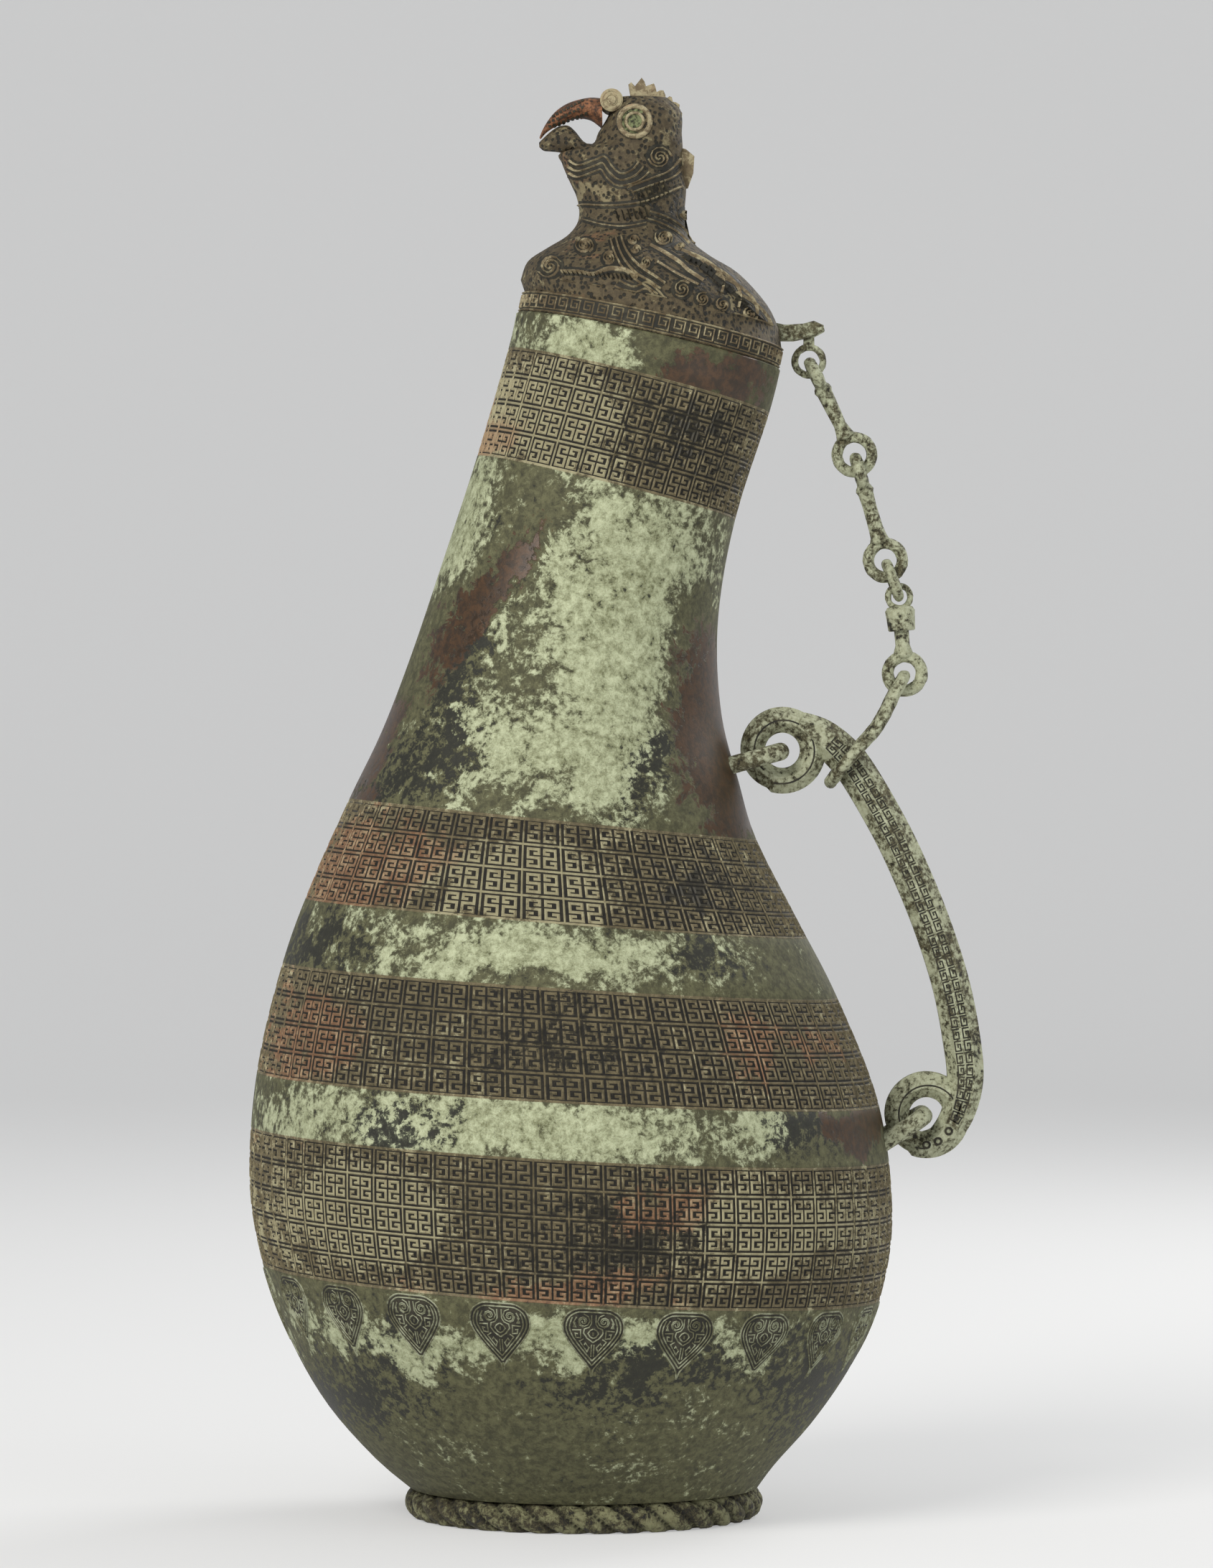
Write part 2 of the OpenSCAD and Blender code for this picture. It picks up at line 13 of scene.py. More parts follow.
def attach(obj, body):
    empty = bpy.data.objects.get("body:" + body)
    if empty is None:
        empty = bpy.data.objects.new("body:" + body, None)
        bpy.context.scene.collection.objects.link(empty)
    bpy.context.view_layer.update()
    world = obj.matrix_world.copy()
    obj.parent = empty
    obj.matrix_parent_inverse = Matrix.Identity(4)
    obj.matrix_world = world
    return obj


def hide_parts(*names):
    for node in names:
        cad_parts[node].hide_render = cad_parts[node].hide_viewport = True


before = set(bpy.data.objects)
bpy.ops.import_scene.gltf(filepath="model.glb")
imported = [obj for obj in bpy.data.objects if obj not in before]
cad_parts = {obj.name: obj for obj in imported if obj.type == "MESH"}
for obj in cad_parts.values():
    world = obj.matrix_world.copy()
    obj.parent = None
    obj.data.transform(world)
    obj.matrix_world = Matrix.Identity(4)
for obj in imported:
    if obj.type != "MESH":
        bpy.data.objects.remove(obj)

bl_info = {
    "name": "Bronze hu",
    "version": (1, 0, 0),
    "blender": (4, 5, 0),
    "location": "View3D > Sidebar > Bronze hu",
    "description": "Builds the looks of the gourd-shaped bronze hu around its packed frame",
    "category": "Object",
}

MM = 0.001

# Stations of the body: centre x, centre z, outside radius (mm) and lean (degrees)
BODY = (
    (0, 8.2, 48.5, 0), (-2.6, 16, 56.2, 1), (-4, 30, 68.4, 2.3), (-3.8, 47.5, 79, 3),
    (-3.5, 66.5, 86.3, 3.4), (-3.6, 89, 89.6, 3.2), (-4.4, 119, 86.7, 3.2), (-6.6, 149, 77.4, 3.7),
    (-8, 172, 67.4, 4.8), (-8.6, 194, 56.9, 5.8), (-6.6, 211, 50.3, 8), (-5, 231.5, 43.9, 10),
    (-0.9, 257.5, 39.2, 12.5), (6.2, 286, 37, 14), (15.2, 315.5, 37.4, 14), (18, 327, 37.6, 12.3),
)
WALL = 3.2
MOUTH = (18, 327, 12.3)
MOUTH_LEAN = math.radians(MOUTH[2])
# Radius and height of the rings from the lip's top into the mouth, and round the foot's pipe
LIP = ((37.2, 0), (33.7, 0), (33.4, -0.3), (33.4, -8))
FOOT_PIPE = ((36.2, 8.6), (36.2, 0.4), (36.6, 0), (40.8, 0), (41.2, 0.4), (41.2, 8.6))
# Ornament bands: lower and upper border as centre heights, rows of cells, cells around
BANDS = {
    "lower_belly": (65.5, 103.7, 5, 60), "upper_belly": (119, 149, 4, 50),
    "shoulder": (166.4, 193.8, 4, 37), "neck": (286.2, 315.8, 4, 28),
}
# How far a band lies below the skin, and the base of a ridge below what it stands on
SUNK, FOOTING, ROOTED = 0.35, -0.12, -0.3

# Stations of the cover: left and right edge in the XZ plane and half-width along Y (mm)
COVER = (
    (-17.6, 344, 54.4, 330, 36.7), (-15.7, 349, 51, 337, 33.8), (-10.7, 352.5, 43.3, 345.5, 27.2),
    (-5, 356, 35.3, 350.5, 20.5), (-2, 359.5, 29.3, 355.5, 16), (-1.3, 363, 28, 361, 14.8),
    (-2, 367, 28.3, 366, 14.6), (-3.3, 370, 28.5, 369.5, 14), (-4.7, 373, 28, 373, 13.4),
    (-6.1, 376.5, 27.4, 376.5, 12.6), (-6.6, 379.3, 27.5, 380, 11.8), (2, 381.6, 27.5, 382, 11.4),
    (4, 385, 27.3, 385, 11), (6.4, 389, 27.4, 389, 9.8), (8, 392.5, 26.5, 392, 7.8),
    (10.5, 395, 23.3, 394.7, 4.6),
)
HOLLOW = (
    (-13, 346, 48.5, 333, 31), (-10, 349, 43, 340.5, 27), (-5, 351.5, 36.5, 346, 21),
    (0, 355.5, 28.5, 351, 14.5), (1.7, 360, 25, 358, 11.8), (1.6, 367, 25, 366, 11.6),
    (3, 374, 24.4, 374, 10), (6.4, 380.5, 24, 380.5, 8.6), (8.6, 386, 23.4, 386, 7),
)
RIM_H = 6.0
# Radius and height of the rings from the skirt's inside round its lower edge to the rim's top
SKIRT = (
    (29.9, -6.2), (30.2, -6.5), (32.8, -6.5), (33.1, -6.2), (33.1, 0.15), (37.1, 0.15),
    (36.9, 0.5), (36.9, RIM_H - 0.3), (36.6, RIM_H),
)
JAW = (
    (6, 382.5, 6, 376, 7.5), (0.8, 382, 0, 377.6, 6.8), (-2.4, 385.4, -2.6, 378.6, 5.6),
    (-4.4, 387, -5, 379.2, 4.8), (-6.9, 386.8, -7.2, 379.6, 4), (-9.2, 385.4, -9.4, 379.8, 3),
    (-11.2, 383.6, -11.2, 380, 1.9), (-12.5, 382.3, -12.4, 381, 0.8),
)
BEAK = (
    (5, 394.6, 5.2, 386, 5.8), (1.9, 394.8, 2.2, 388.3, 5.4), (-1.5, 394.2, -0.9, 389, 4.9),
    (-4.7, 393.1, -3.4, 388.6, 4.2), (-7.6, 391.2, -5.4, 387.7, 3.4),
    (-9.8, 388.7, -8.3, 386.5, 2.4), (-11.5, 385.9, -10.5, 385, 1.4),
    (-12.4, 383.6, -12, 383.3, 0.6),
)
COMB = (
    (13.5, 392), (12.4, 398.4), (13.2, 399), (14.2, 397.9), (15.4, 399.4), (16.1, 400.3),
    (16.9, 399.2), (17.3, 397.9), (18.4, 398.3), (19.5, 398.7), (19.9, 397.8), (20.3, 396.3),
    (21.3, 396.8), (22.2, 396.7), (22.7, 395.5), (22.9, 394.4), (23.8, 395.1), (24.5, 394.9),
    (24.8, 393.6), (25.7, 393.4), (26.7, 392.8), (26.6, 391.6), (27.4, 390.4), (27.2, 387.4),
    (25, 384),
)
NAPE = ((26, 381), (28.4, 380.4), (30.8, 378.4), (30.5, 373.8), (29, 369.6), (26, 369))
PIVOT = (7.7, 393.6)
EYE = (14.1, 387.2)
# How far the eyes lean with the side of the head: out for each mm down
EYE_SLOPE = 0.3
EYE_RINGS = ((4.3, 10.2, 0.75), (2.4, 10.45, 0.45))
EYE_SOCKET = ((5.2, 8.4), (5.2, 9.9), (4.9, 10.0))
EYE_DISC = ((4.3, 8.6), (4.3, 10.15), (2.1, 10.25), (1.9, 10.7), (1.2, 10.95), (0.4, 11.05))
# Middle of the handle's stem: x, z and width
STEM = (
    (60, 220.3, 7.2), (66, 217.2, 9.4), (71.6, 212.4, 10.4), (76, 207, 10.4), (82.6, 196, 10.4),
    (88.8, 184, 10.4), (96.4, 166, 10.4), (102.2, 148, 10.4), (105.3, 132, 10.4), (106.2, 121, 10),
    (104, 111.5, 9), (99.5, 105, 7.8), (94.6, 103.1, 7.2),
)
# Scrolls: middle and the angle at which each leaves the stem
SCROLLS = ((55.3, 213, -105), (95.4, 111.5, -110))
SCROLL_OUT, SCROLL_EYE, HANDLE_T, CHAMFER = 12.1, 4.9, 9.0, 2.6
# Staples: root and hold in the XZ plane
STAPLES = {
    "upper_lug": ((39.5, 208.4), (54.6, 212.6)), "lower_lug": ((80.5, 102.5), (94.4, 111.4)),
}
STAPLE_LEG, STAPLE_BEND, STAPLE_BAR = 9.4, 4.2, 2.5
TAIL_BAR = (
    (51.5, 332.4), (56, 331.6), (61, 331.9), (64, 332.6), (66.8, 331.4), (67.2, 329.6),
    (64.6, 328.2), (58.5, 326.8), (54.5, 326.9), (52, 328),
)
TAIL_NECK = ((61.1, 325), (64.3, 325), (64.3, 329.2), (61.1, 329.2))
# Turned links, each with the name of its node: its piece, hanging place, swing (degrees), the
# bar's sides, radius and drop of each of its rings, and the eyes: drop, radius, thickness and
# whether they face the front
LINKS = {
    "link_a": ("long_link_a", (64.41, 317.89), 26, 20,
               ((1.6, 3.2), (2.4, 4.2), (2.7, 5.2), (2.3, 6.2), (2.1, 12), (1.95, 15.8),
                (2.4, 18.2), (2.9, 19.6), (2.2, 20.4)),
               ((0.3, 3.6, 1.8, False), (25.1, 4.85, 1.7, True))),
    "link_b": ("long_link_b", (76.77, 290.68), 16.3, 20,
               ((1.6, 3.4), (2.3, 4.6), (2.7, 5.5), (2.3, 6.5), (2.1, 10), (2.2, 16.4),
                (2.5, 18.8), (3.0, 20.4), (2.2, 21.3)),
               ((0.1, 3.9, 1.8, False), (25.8, 4.75, 1.75, True))),
    "swivel_barrel": ("swivel_cap", (87.81, 255.72), 4.3, 28,
                      ((3.0, 2.6), (3.6, 2.75), (4.4, 3.9), (4.2, 5.2), (3.9, 9.2), (3.6, 9.6),
                       (2.3, 9.6), (2.3, 8.05), (3.2, 8.0), (3.2, 4.2)),
                      ((0, 3.1, 1.0, True),)),
    "swivel_eye": ("swivel_shank", (87.81, 255.72), 4.3, 20,
                   ((2.9, 4.5), (2.9, 7.7), (2.2, 7.75), (2.2, 13.4), (3.0, 16.2), (2.4, 17.1)),
                   ((21.4, 4.75, 1.85, True),)),
}
LOOP = (
    (89.2, 0, 233.6), (88.6, 3, 232.6), (87.2, 4.4, 230.1), (85.2, 5.2, 226.2), (83, 6.2, 221.8),
    (79.9, 7.2, 217.4), (76, 7.6, 213.2), (72, 7.2, 208.6), (69.5, 4, 205.2), (68.7, 0, 204.1),
)


def catmull(rows, t):
    """Points at the places t of a Catmull-Rom curve through rows, where row n is at t = n."""
    rows = np.asarray(rows, float)
    last = len(rows) - 1
    t = np.clip(np.atleast_1d(np.asarray(t, float)), 0, last)
    i = np.minimum(t.astype(int), last - 1)
    f = (t - i)[:, None]
    a, b, c, d = (rows[np.clip(i + k, 0, last)] for k in (-1, 0, 1, 2))
    return 0.5 * (2 * b + (c - a) * f + (2 * a - 5 * b + 4 * c - d) * f ** 2
                  + (3 * b - a - 3 * c + d) * f ** 3)


def around(sides):
    """The angles of the corners of a round ring."""
    return 2 * math.pi * np.arange(sides) / sides


def disc(middle, r, y, sides):
    """A ring that faces the front, round a place of the XZ plane."""
    turn = around(sides)
    return np.stack([middle[0] + r * np.cos(turn), np.full(sides, y),
                     middle[1] + r * np.sin(turn)], 1)


def mouth_ring(r, up, sides):
    """A ring round the mouth's axis, up from the plane of the mouth."""
    turn, s, c = around(sides), math.sin(MOUTH_LEAN), math.cos(MOUTH_LEAN)
    return (np.array([MOUTH[0] + up * s, 0, MOUTH[1] + up * c])
            + r * (np.outer(np.cos(turn), (c, 0, -s)) + np.outer(np.sin(turn), (0, 1, 0))))


class Skin:
    """A surface through oval rings. A point of it has an angle (0 at +X, 270 in front) and a place
    along the stations."""

    # How many places along the stations are read for a height, and how many are tried for a point
    READ, TRIED = 600, 900
    # The small steps (degrees, stations) that find a normal
    STEP_ROUND, STEP_UP = 0.2, 0.01

    def __init__(self, stations, tilted=False):
        self.rows = np.asarray(stations, float)
        self.tilted = tilted
        self.span = np.linspace(0, len(self.rows) - 1, self.READ)
        self.heights = catmull(self.rows, self.span)[:, 1]

    def place(self, height):
        """The place along the stations of a height (of the ring's second number)."""
        return np.interp(height, self.heights, self.span)

    def frame_at(self, v):
        """Middle, half-diameter in the XZ plane and half-width along Y of the rings at v."""
        s = catmull(self.rows, v)
        if self.tilted:
            lean = np.radians(s[:, 3])
            half = s[:, 2:3] * np.stack([np.cos(lean), -np.sin(lean)], 1)
            return s[:, :2], half, s[:, 2]
        return (s[:, :2] + s[:, 2:4]) / 2, (s[:, 2:4] - s[:, :2]) / 2, s[:, 4]

    def flat(self, angle, v):
        """Points of the surface itself."""
        mid, half, wide = self.frame_at(v)
        a = np.radians(angle)
        xz = mid + half * np.cos(a)[:, None]
        return np.stack([xz[:, 0], wide * np.sin(a), xz[:, 1]], 1)

    def points(self, angle, v, lift=0.0):
        """Points in mm, lifted off the surface along its normal."""
        angle, v = np.broadcast_arrays(np.ravel(angle).astype(float), np.ravel(v).astype(float))
        place = self.flat(angle, v)
        along = self.flat(angle + self.STEP_ROUND, v) - self.flat(angle - self.STEP_ROUND, v)
        low = np.maximum(v - self.STEP_UP, 0)
        high = np.minimum(v + self.STEP_UP, len(self.rows) - 1)
        up = self.flat(angle, high) - self.flat(angle, low)
        out = np.cross(along, up)
        out /= np.maximum(np.linalg.norm(out, axis=1), 1e-9)[:, None]
        return place + out * np.asarray(lift, float).reshape(-1, 1)

    def seek(self, x, z):
        """The angles and the places along the stations of the front points that show at x, z."""
        v = np.linspace(0, len(self.rows) - 1, self.TRIED)
        mid, half, _ = self.frame_at(v)
        off = np.stack([x, z], 1)[:, None, :] - mid[None]
        miss = np.abs(off[..., 0] * half[:, 1] - off[..., 1] * half[:, 0])
        miss /= np.linalg.norm(half, axis=1)
        cosine = (off * half).sum(2) / (half ** 2).sum(1)
        outside = 40 * np.maximum(np.abs(cosine) - 1, 0)
        best = np.argmin(miss + outside, axis=1)
        cosine = np.clip(cosine[np.arange(len(best)), best], -1, 1)
        return 360 - np.degrees(np.arccos(cosine)), v[best]

    def drape(self, x, z, lift):
        """Points of the front that show at x, z, lifted off the surface."""
        return self.points(*self.seek(x, z), lift)

    def both_sides(self):
        """drape for the front, then its mirror image for the back."""
        for side in (1, -1):
            yield lambda x, z, lift: self.drape(x, z, lift) * (1, side, 1)


GOURD = Skin(BODY, tilted=True)
BIRD = Skin(COVER)
HORN = Skin(BEAK)


def sweep(target, rings, closed=False):
    """Bridges circles that are moved onto the rings, in order, closes both ends, or joins them,
    and adds the result to the target."""
    bm = bmesh.new()
    loops = []
    for ring in rings:
        verts = bmesh.ops.create_circle(bm, segments=len(ring), radius=1)["verts"]
        for vert, place in zip(verts, ring):
            vert.co = place
        loops.append((verts, list({e for v in verts for e in v.link_edges})))
    pairs = list(zip(loops, loops[1:])) + ([(loops[-1], loops[0])] if closed else [])
    for low, high in pairs:
        bmesh.ops.bridge_loops(bm, edges=low[1] + high[1])
    for end in () if closed else (loops[0], loops[-1]):
        bmesh.ops.contextual_create(bm, geom=end[1])
    bmesh.ops.recalc_face_normals(bm, faces=bm.faces)
    add_to(target, bm)


def add_to(target, bm):
    """Adds a small bmesh to a larger one."""
    scratch = bpy.data.meshes.new("scratch")
    bm.to_mesh(scratch)
    bm.free()
    target.from_mesh(scratch)
    bpy.data.meshes.remove(scratch)


def path_rings(path, size, sides, closed=False):
    """Round rings across a path."""
    path = np.asarray(path, float)
    count = len(path)
    turn = around(sides)
    rings = []
    side = None
    for i in range(count):
        a = path[(i - 1) % count] if closed else path[max(i - 1, 0)]
        b = path[(i + 1) % count] if closed else path[min(i + 1, count - 1)]
        ahead = (b - a) / np.linalg.norm(b - a)
        if side is None:
            side = np.cross(ahead, (0.3, 0.9, 0.2))
        side = side - ahead * side.dot(ahead)
        side /= np.linalg.norm(side)
        top = np.cross(side, ahead)
        rings.append(path[i] + size * (np.outer(np.cos(turn), side) + np.outer(np.sin(turn), top)))
    return rings


def tube(target, path, size, sides, closed=False):
    """A round bar along a path."""
    sweep(target, path_rings(path, size, sides, closed), closed)


def sheet(bm, place, outline, middle, lift=0.05):
    """A thin sheet of an outline round its middle, laid on a surface."""
    rings = []
    for size, up in ((1.0, ROOTED), (0.97, lift), (0.6, lift), (0.2, lift)):
        spot = middle + (outline - middle) * size
        rings.append(place(spot[:, 0], spot[:, 1], np.full(len(spot), up)))
    sweep(bm, rings)


def ridge(bm, place, path, width, height, base=FOOTING, top=0.0):
    """A ridge along a flat path, of roof section or with a flat top of that share of its width.
    place turns (across, along, lift) arrays into points."""
    path = np.asarray(path, float)
    steps = np.diff(path, axis=0)
    steps /= np.linalg.norm(steps, axis=1)[:, None]
    before, after = np.vstack([steps[:1], steps]), np.vstack([steps, steps[-1:]])
    ahead = before + after
    ahead /= np.linalg.norm(ahead, axis=1)[:, None]
    half = width / 2 / np.maximum(0.5, np.abs((ahead * after).sum(1)))
    side = np.stack([-ahead[:, 1], ahead[:, 0]], 1) * half[:, None]
    across = (1, top, -top, -1) if top else (1, 0, -1)
    flat = np.stack([path + side * share for share in across], 1).reshape(-1, 2)
    lift = np.tile([base] + [height] * (len(across) - 2) + [base], len(path))
    sweep(bm, place(flat[:, 0], flat[:, 1], lift).reshape(len(path), len(across), 3))


def spiral(x, z, r_out, r_in, start, turns, steps=8):
    """Points of a flat spiral from its outside to its inside. start is in degrees."""
    share = np.linspace(0, 1, max(2, int(abs(turns) * steps)) + 1)
    r = r_out + (r_in - r_out) * share
    a = math.radians(start) + 2 * math.pi * turns * share
    return np.stack([x + r * np.cos(a), z + r * np.sin(a)], 1)


# The slots of the materials that aren't pale_bronze
SLOTS = {
    "gourd_patina": "patinated_bronze", "inlay_and_shade": "patinated_bronze",
    "copper_red": "copper_bronze",
}


def finish_piece(name, bm, body, look, *replaces, slot=None, smooth=True, angle=40):
    """Makes an object of a bmesh in mm, with outward faces, gives it a look and parents it to an
    empty of its body. replaces names the nodes that it stands for, which it hides."""
    bmesh.ops.recalc_face_normals(bm, faces=bm.faces)
    bmesh.ops.scale(bm, vec=(MM, MM, MM), verts=bm.verts)
    for face in bm.faces:
        face.smooth = smooth
    for edge in bm.edges:
        edge.smooth = not (len(edge.link_faces) == 2
                           and edge.calc_face_angle(0) > math.radians(angle))
    mesh = bpy.data.meshes.new(name)
    bm.to_mesh(mesh)
    bm.free()
    piece = bpy.data.objects.new(name, mesh)
    bpy.context.scene.collection.objects.link(piece)
    mesh.materials.append(material(look))
    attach(piece, body)
    if replaces:
        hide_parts(*replaces)
    slot or SLOTS.get(look, "pale_bronze")


# Shader maths

class Net:
    """The node tree of a material, with one method that makes nodes."""

    def __init__(self, material):
        material.use_nodes = True
        self.tree = material.node_tree
        self.tree.nodes.clear()
        self.count = 0

    def node(self, kind, inputs=(), out=0, **settings):
        """A node of that kind, its settings and the values or links of its sockets."""
        made = self.tree.nodes.new(kind)
        self.count += 1
        made.location = (220 * (self.count % 12), -260 * (self.count // 12))
        for key, value in settings.items():
            setattr(made, key, value)
        for key, value in dict(inputs).items():
            if isinstance(value, Field):
                self.tree.links.new(value.socket, made.inputs[key])
            elif value is not None:
                made.inputs[key].default_value = value
        return Field(self, made.outputs[out]) if made.outputs else made

    def noise(self, at, scale, detail, rough, warp=0.0):
        """The share, 0 to 1, of a noise at places in mm."""
        return self.node("ShaderNodeTexNoise", {
            "Vector": at, "Scale": scale, "Detail": detail, "Roughness": rough, "Distortion": warp})

    def cells(self, at, scale):
        """How far the nearest of a scatter of points is."""
        return self.node("ShaderNodeTexVoronoi", {"Vector": at, "Scale": scale})


class Field:
    """One output socket that takes part in sums, products and mixes."""

    def __init__(self, net, socket):
        self.net, self.socket = net, socket

    def other(self, key):
        """Another output of the same node."""
        return Field(self.net, self.socket.node.outputs[key])

    def maths(self, operation, *others):
        """The result of one operation with this field first."""
        return self.net.node("ShaderNodeMath", dict(enumerate((self,) + others)),
                             operation=operation)

    def __add__(self, other):
        return self.maths("ADD", other)

    def __mul__(self, other):
        return self.maths("MULTIPLY", other)

    def __sub__(self, other):
        return self.maths("SUBTRACT", other)

    def __rsub__(self, other):
        return self.maths("MULTIPLY", -1.0).maths("ADD", other)

    def most(self, other):
        """The larger of two fields."""
        return self.maths("MAXIMUM", other)

    def step(self, low, high):
        """0 below low, 1 above high, smooth between."""
        return self.net.node("ShaderNodeMapRange", {
            "Value": self, "From Min": low, "From Max": high, "To Min": 0.0, "To Max": 1.0},
            interpolation_type="SMOOTHSTEP")

    def mix(self, low, high):
        """low where the field is 0 and high where it is 1, as colours."""
        return self.net.node("ShaderNodeMix", {0: self, 6: low, 7: high}, out=2, data_type="RGBA")


def srgb(red, green, blue):
    """A display colour, 0 to 255, as the linear colour that a socket takes."""
    def line(c):
        c /= 255
        return c / 12.92 if c <= 0.04045 else ((c + 0.055) / 1.055) ** 2.4
    return (line(red), line(green), line(blue), 1.0)


# Patches of each layer: x, z, half-length, half-width (mm), turn (degrees)
GOURD_SPOTS = {
    "pale": ((8, 252, 46, 24, 78), (-6, 212, 38, 17, 0), (-38, 274, 28, 8, 62),
             (-4, 320, 22, 10, -8), (-16, 158, 46, 11, 0), (-22, 111, 66, 11, 0),
             (-10, 54, 60, 7, 0), (50, 112, 10, 8, 0)),
    "dark": ((-44, 206, 24, 11, 30), (-66, 36, 26, 14, 30), (66, 40, 22, 18, -30),
             (60, 112, 14, 9, 0), (-72, 160, 16, 8, 0), (34, 158, 10, 8, 0),
             (16, 44, 28, 9, 12), (-34, 232, 24, 6, 66), (18, 206, 12, 6, 60),
             (-50, 111, 12, 7, 0)),
    "bare": ((-27, 253, 42, 9, 57), (36, 216, 46, 15, 100), (36, 317, 23, 12, -8),
             (-58, 214, 26, 7, 62), (50, 196, 26, 9, 0), (74, 111, 14, 9, 0),
             (-62, 196, 14, 6, 40)),
}
BAND_SPOTS = {
    "pale": ((-18, 303, 26, 16, -12), (-60, 88, 24, 12, 0), (50, 84, 24, 12, 0),
             (-20, 178, 26, 9, -5)),
    "dark": ((10, 84, 30, 15, 0), (-2, 134, 34, 12, 0), (30, 296, 20, 13, -12),
             (30, 176, 20, 10, 0)),
    "rust": ((-50, 182, 34, 12, 20), (-72, 136, 14, 14, 0), (56, 132, 26, 10, -10),
             (26, 92, 22, 6, 0), (-30, 302, 12, 12, 0), (-8, 70, 30, 5, 0)),
}
# The cover's dark patches, on the wing and the right of the collar, are painted shade; its pale and
# rust patches are patina.
COVER_SPOTS_AND_SHADE = {
    "pale": ((1, 368, 10, 2.6, -4), (36, 342, 12, 3, -32)),
    "dark": ((19, 366.5, 11, 2.8, -6), (34, 343, 26, 12, -36)),
    "rust": ((-3, 374, 9, 5, 0), (4, 352, 12, 4, 0), (-4, 334, 14, 4, 0)),
}


def spread(at_x, at_z, places):
    """1 in the middle of the nearest patch, 0 at its edge and less outside."""
    total = None
    for cx, cz, long, wide, turn in places:
        c, s = math.cos(math.radians(turn)), math.sin(math.radians(turn))
        dx, dz = at_x - cx, at_z - cz
        u = (dx * c + dz * s) * (1 / long)
        w = (dz * c - dx * s) * (1 / wide)
        spot = 1.0 - (u * u + w * w).maths("SQRT")
        total = spot if total is None else total.most(spot)
    return total.most(-0.5)


# How much of each noise a layer takes: large, middle, fine and grit
LAYERS = {
    "pale": (0.8, 2.4, 2.5, 0), "dark": (0.8, -1.8, -3.6, 0), "bare": (0, 1.6, 1.6, 0),
    "rust": (2.2, 2.6, 0, 0.9),
}
# How much of a layer its patches add, how far noise moves their edges (mm), and how much of the
# pale crust the dark and the bare patches take away
PATCH_SHARE = {"pale": 0.9, "dark": 0.7, "bare": 1.7, "rust": 0.8}
PATCH_EDGE = 34.0
PALE_LOSS = {"dark": 0.8, "bare": 2.4}


def patina(name, tone, relief=0.5, grain=1.0, spots=None, pits=0.0, ground=False):
    """A corroded bronze. tone holds the colours of its layers and how much of each there is."""
    made = bpy.data.materials.new(name)
    net = Net(made)
    where = net.node("ShaderNodeTexCoord", out=3)
    at = net.node("ShaderNodeVectorMath", {0: where, 3: 1000.0}, operation="SCALE")
    big = net.noise(at, 0.022, 3, 0.55, 0.4)
    mid = net.noise(at, 0.1 * grain, 6, 0.72, 0.5)
    fine = net.noise(at, 0.42 * grain, 6, 0.75, 0.3)
    grit = net.noise(at, 1.9 * grain, 4, 0.75)
    layer = {}
    for key, shares in LAYERS.items():
        layer[key] = tone[key]
        for part, share in zip((big, mid, fine, grit), shares):
            if share:
                layer[key] = (part - 0.5) * share + layer[key]
    if spots:
        x = net.node("ShaderNodeSeparateXYZ", {0: where})
        warp = net.noise(at, 0.05, 4, 0.6)
        z = x.other(2) * 1000.0 + (warp - 0.5) * PATCH_EDGE
        x = x * 1000.0 + (mid - 0.5) * PATCH_EDGE
        for key, places in spots.items():
            patch = spread(x, z, places)
            layer[key] = layer[key] + patch * PATCH_SHARE[key]
            if key in PALE_LOSS:
                layer["pale"] = layer["pale"] - patch.most(0.0) * PALE_LOSS[key]
    is_pale = layer["pale"].step(-0.1, 0.34)
    is_dark = layer["dark"].step(0.2, 0.5)
    is_bare = layer["bare"].step(0.2, 0.4)
    is_rust = layer["rust"].step(0.15, 0.5)
    colour = fine.step(0.36, 0.64).mix(tone["low"], tone["middle"])
    tint = (fine * 0.8 + grit * 0.4 + mid * 0.3).step(0.58, 0.94)
    colour = is_pale.mix(colour, tint.mix(tone["soft"], tone["high"]))
    colour = (is_rust * 0.45).mix(colour, tone["orange"])
    colour = (is_dark * 0.85).mix(colour, tone["black"])
    colour = is_bare.mix(colour, fine.step(0.4, 0.62).mix(tone["brown"], tone["umber"]))
    colour = (grit.step(0.58, 0.68) * 0.6).mix(colour, tone["black"])
    height = mid * 0.3 + fine * 0.45 + grit * 0.3 + is_pale * 0.3 - is_dark * 0.15
    height = height * (1.0 - is_bare * 0.75)
    rough = 0.72 - is_bare * 0.3 - is_dark * 0.14
    if pits:
        pit = 1.0 - net.cells(at, pits).step(0.28, 0.46)
        colour = (pit * 0.9).mix(colour, tone["black"])
        height = height - pit * 0.9
    # Painted shade: where the ground attribute is set, on the sunk ground of the bands and in the
    # creases of the rope, the colour turns near black, with rust in places.
    if ground:
        shade_mask = net.node("ShaderNodeAttribute", out=2, attribute_name="ground")
        shade_and_rust = fine.step(0.42, 0.62).mix(srgb(23, 21, 16), srgb(42, 38, 27))
        shade_and_rust = (is_rust * 0.4).mix(shade_and_rust, srgb(84, 56, 38))
        colour = shade_mask.mix(colour, shade_and_rust)
        rough = rough + shade_mask * 0.1
    bump = net.node("ShaderNodeBump", {"Height": height, "Strength": relief, "Distance": 0.001})
    shader = net.node("ShaderNodeBsdfPrincipled", {
        "Base Color": colour, "Roughness": rough, "Metallic": 0.1, "Normal": bump})
    net.node("ShaderNodeOutputMaterial", {"Surface": shader})
    return made


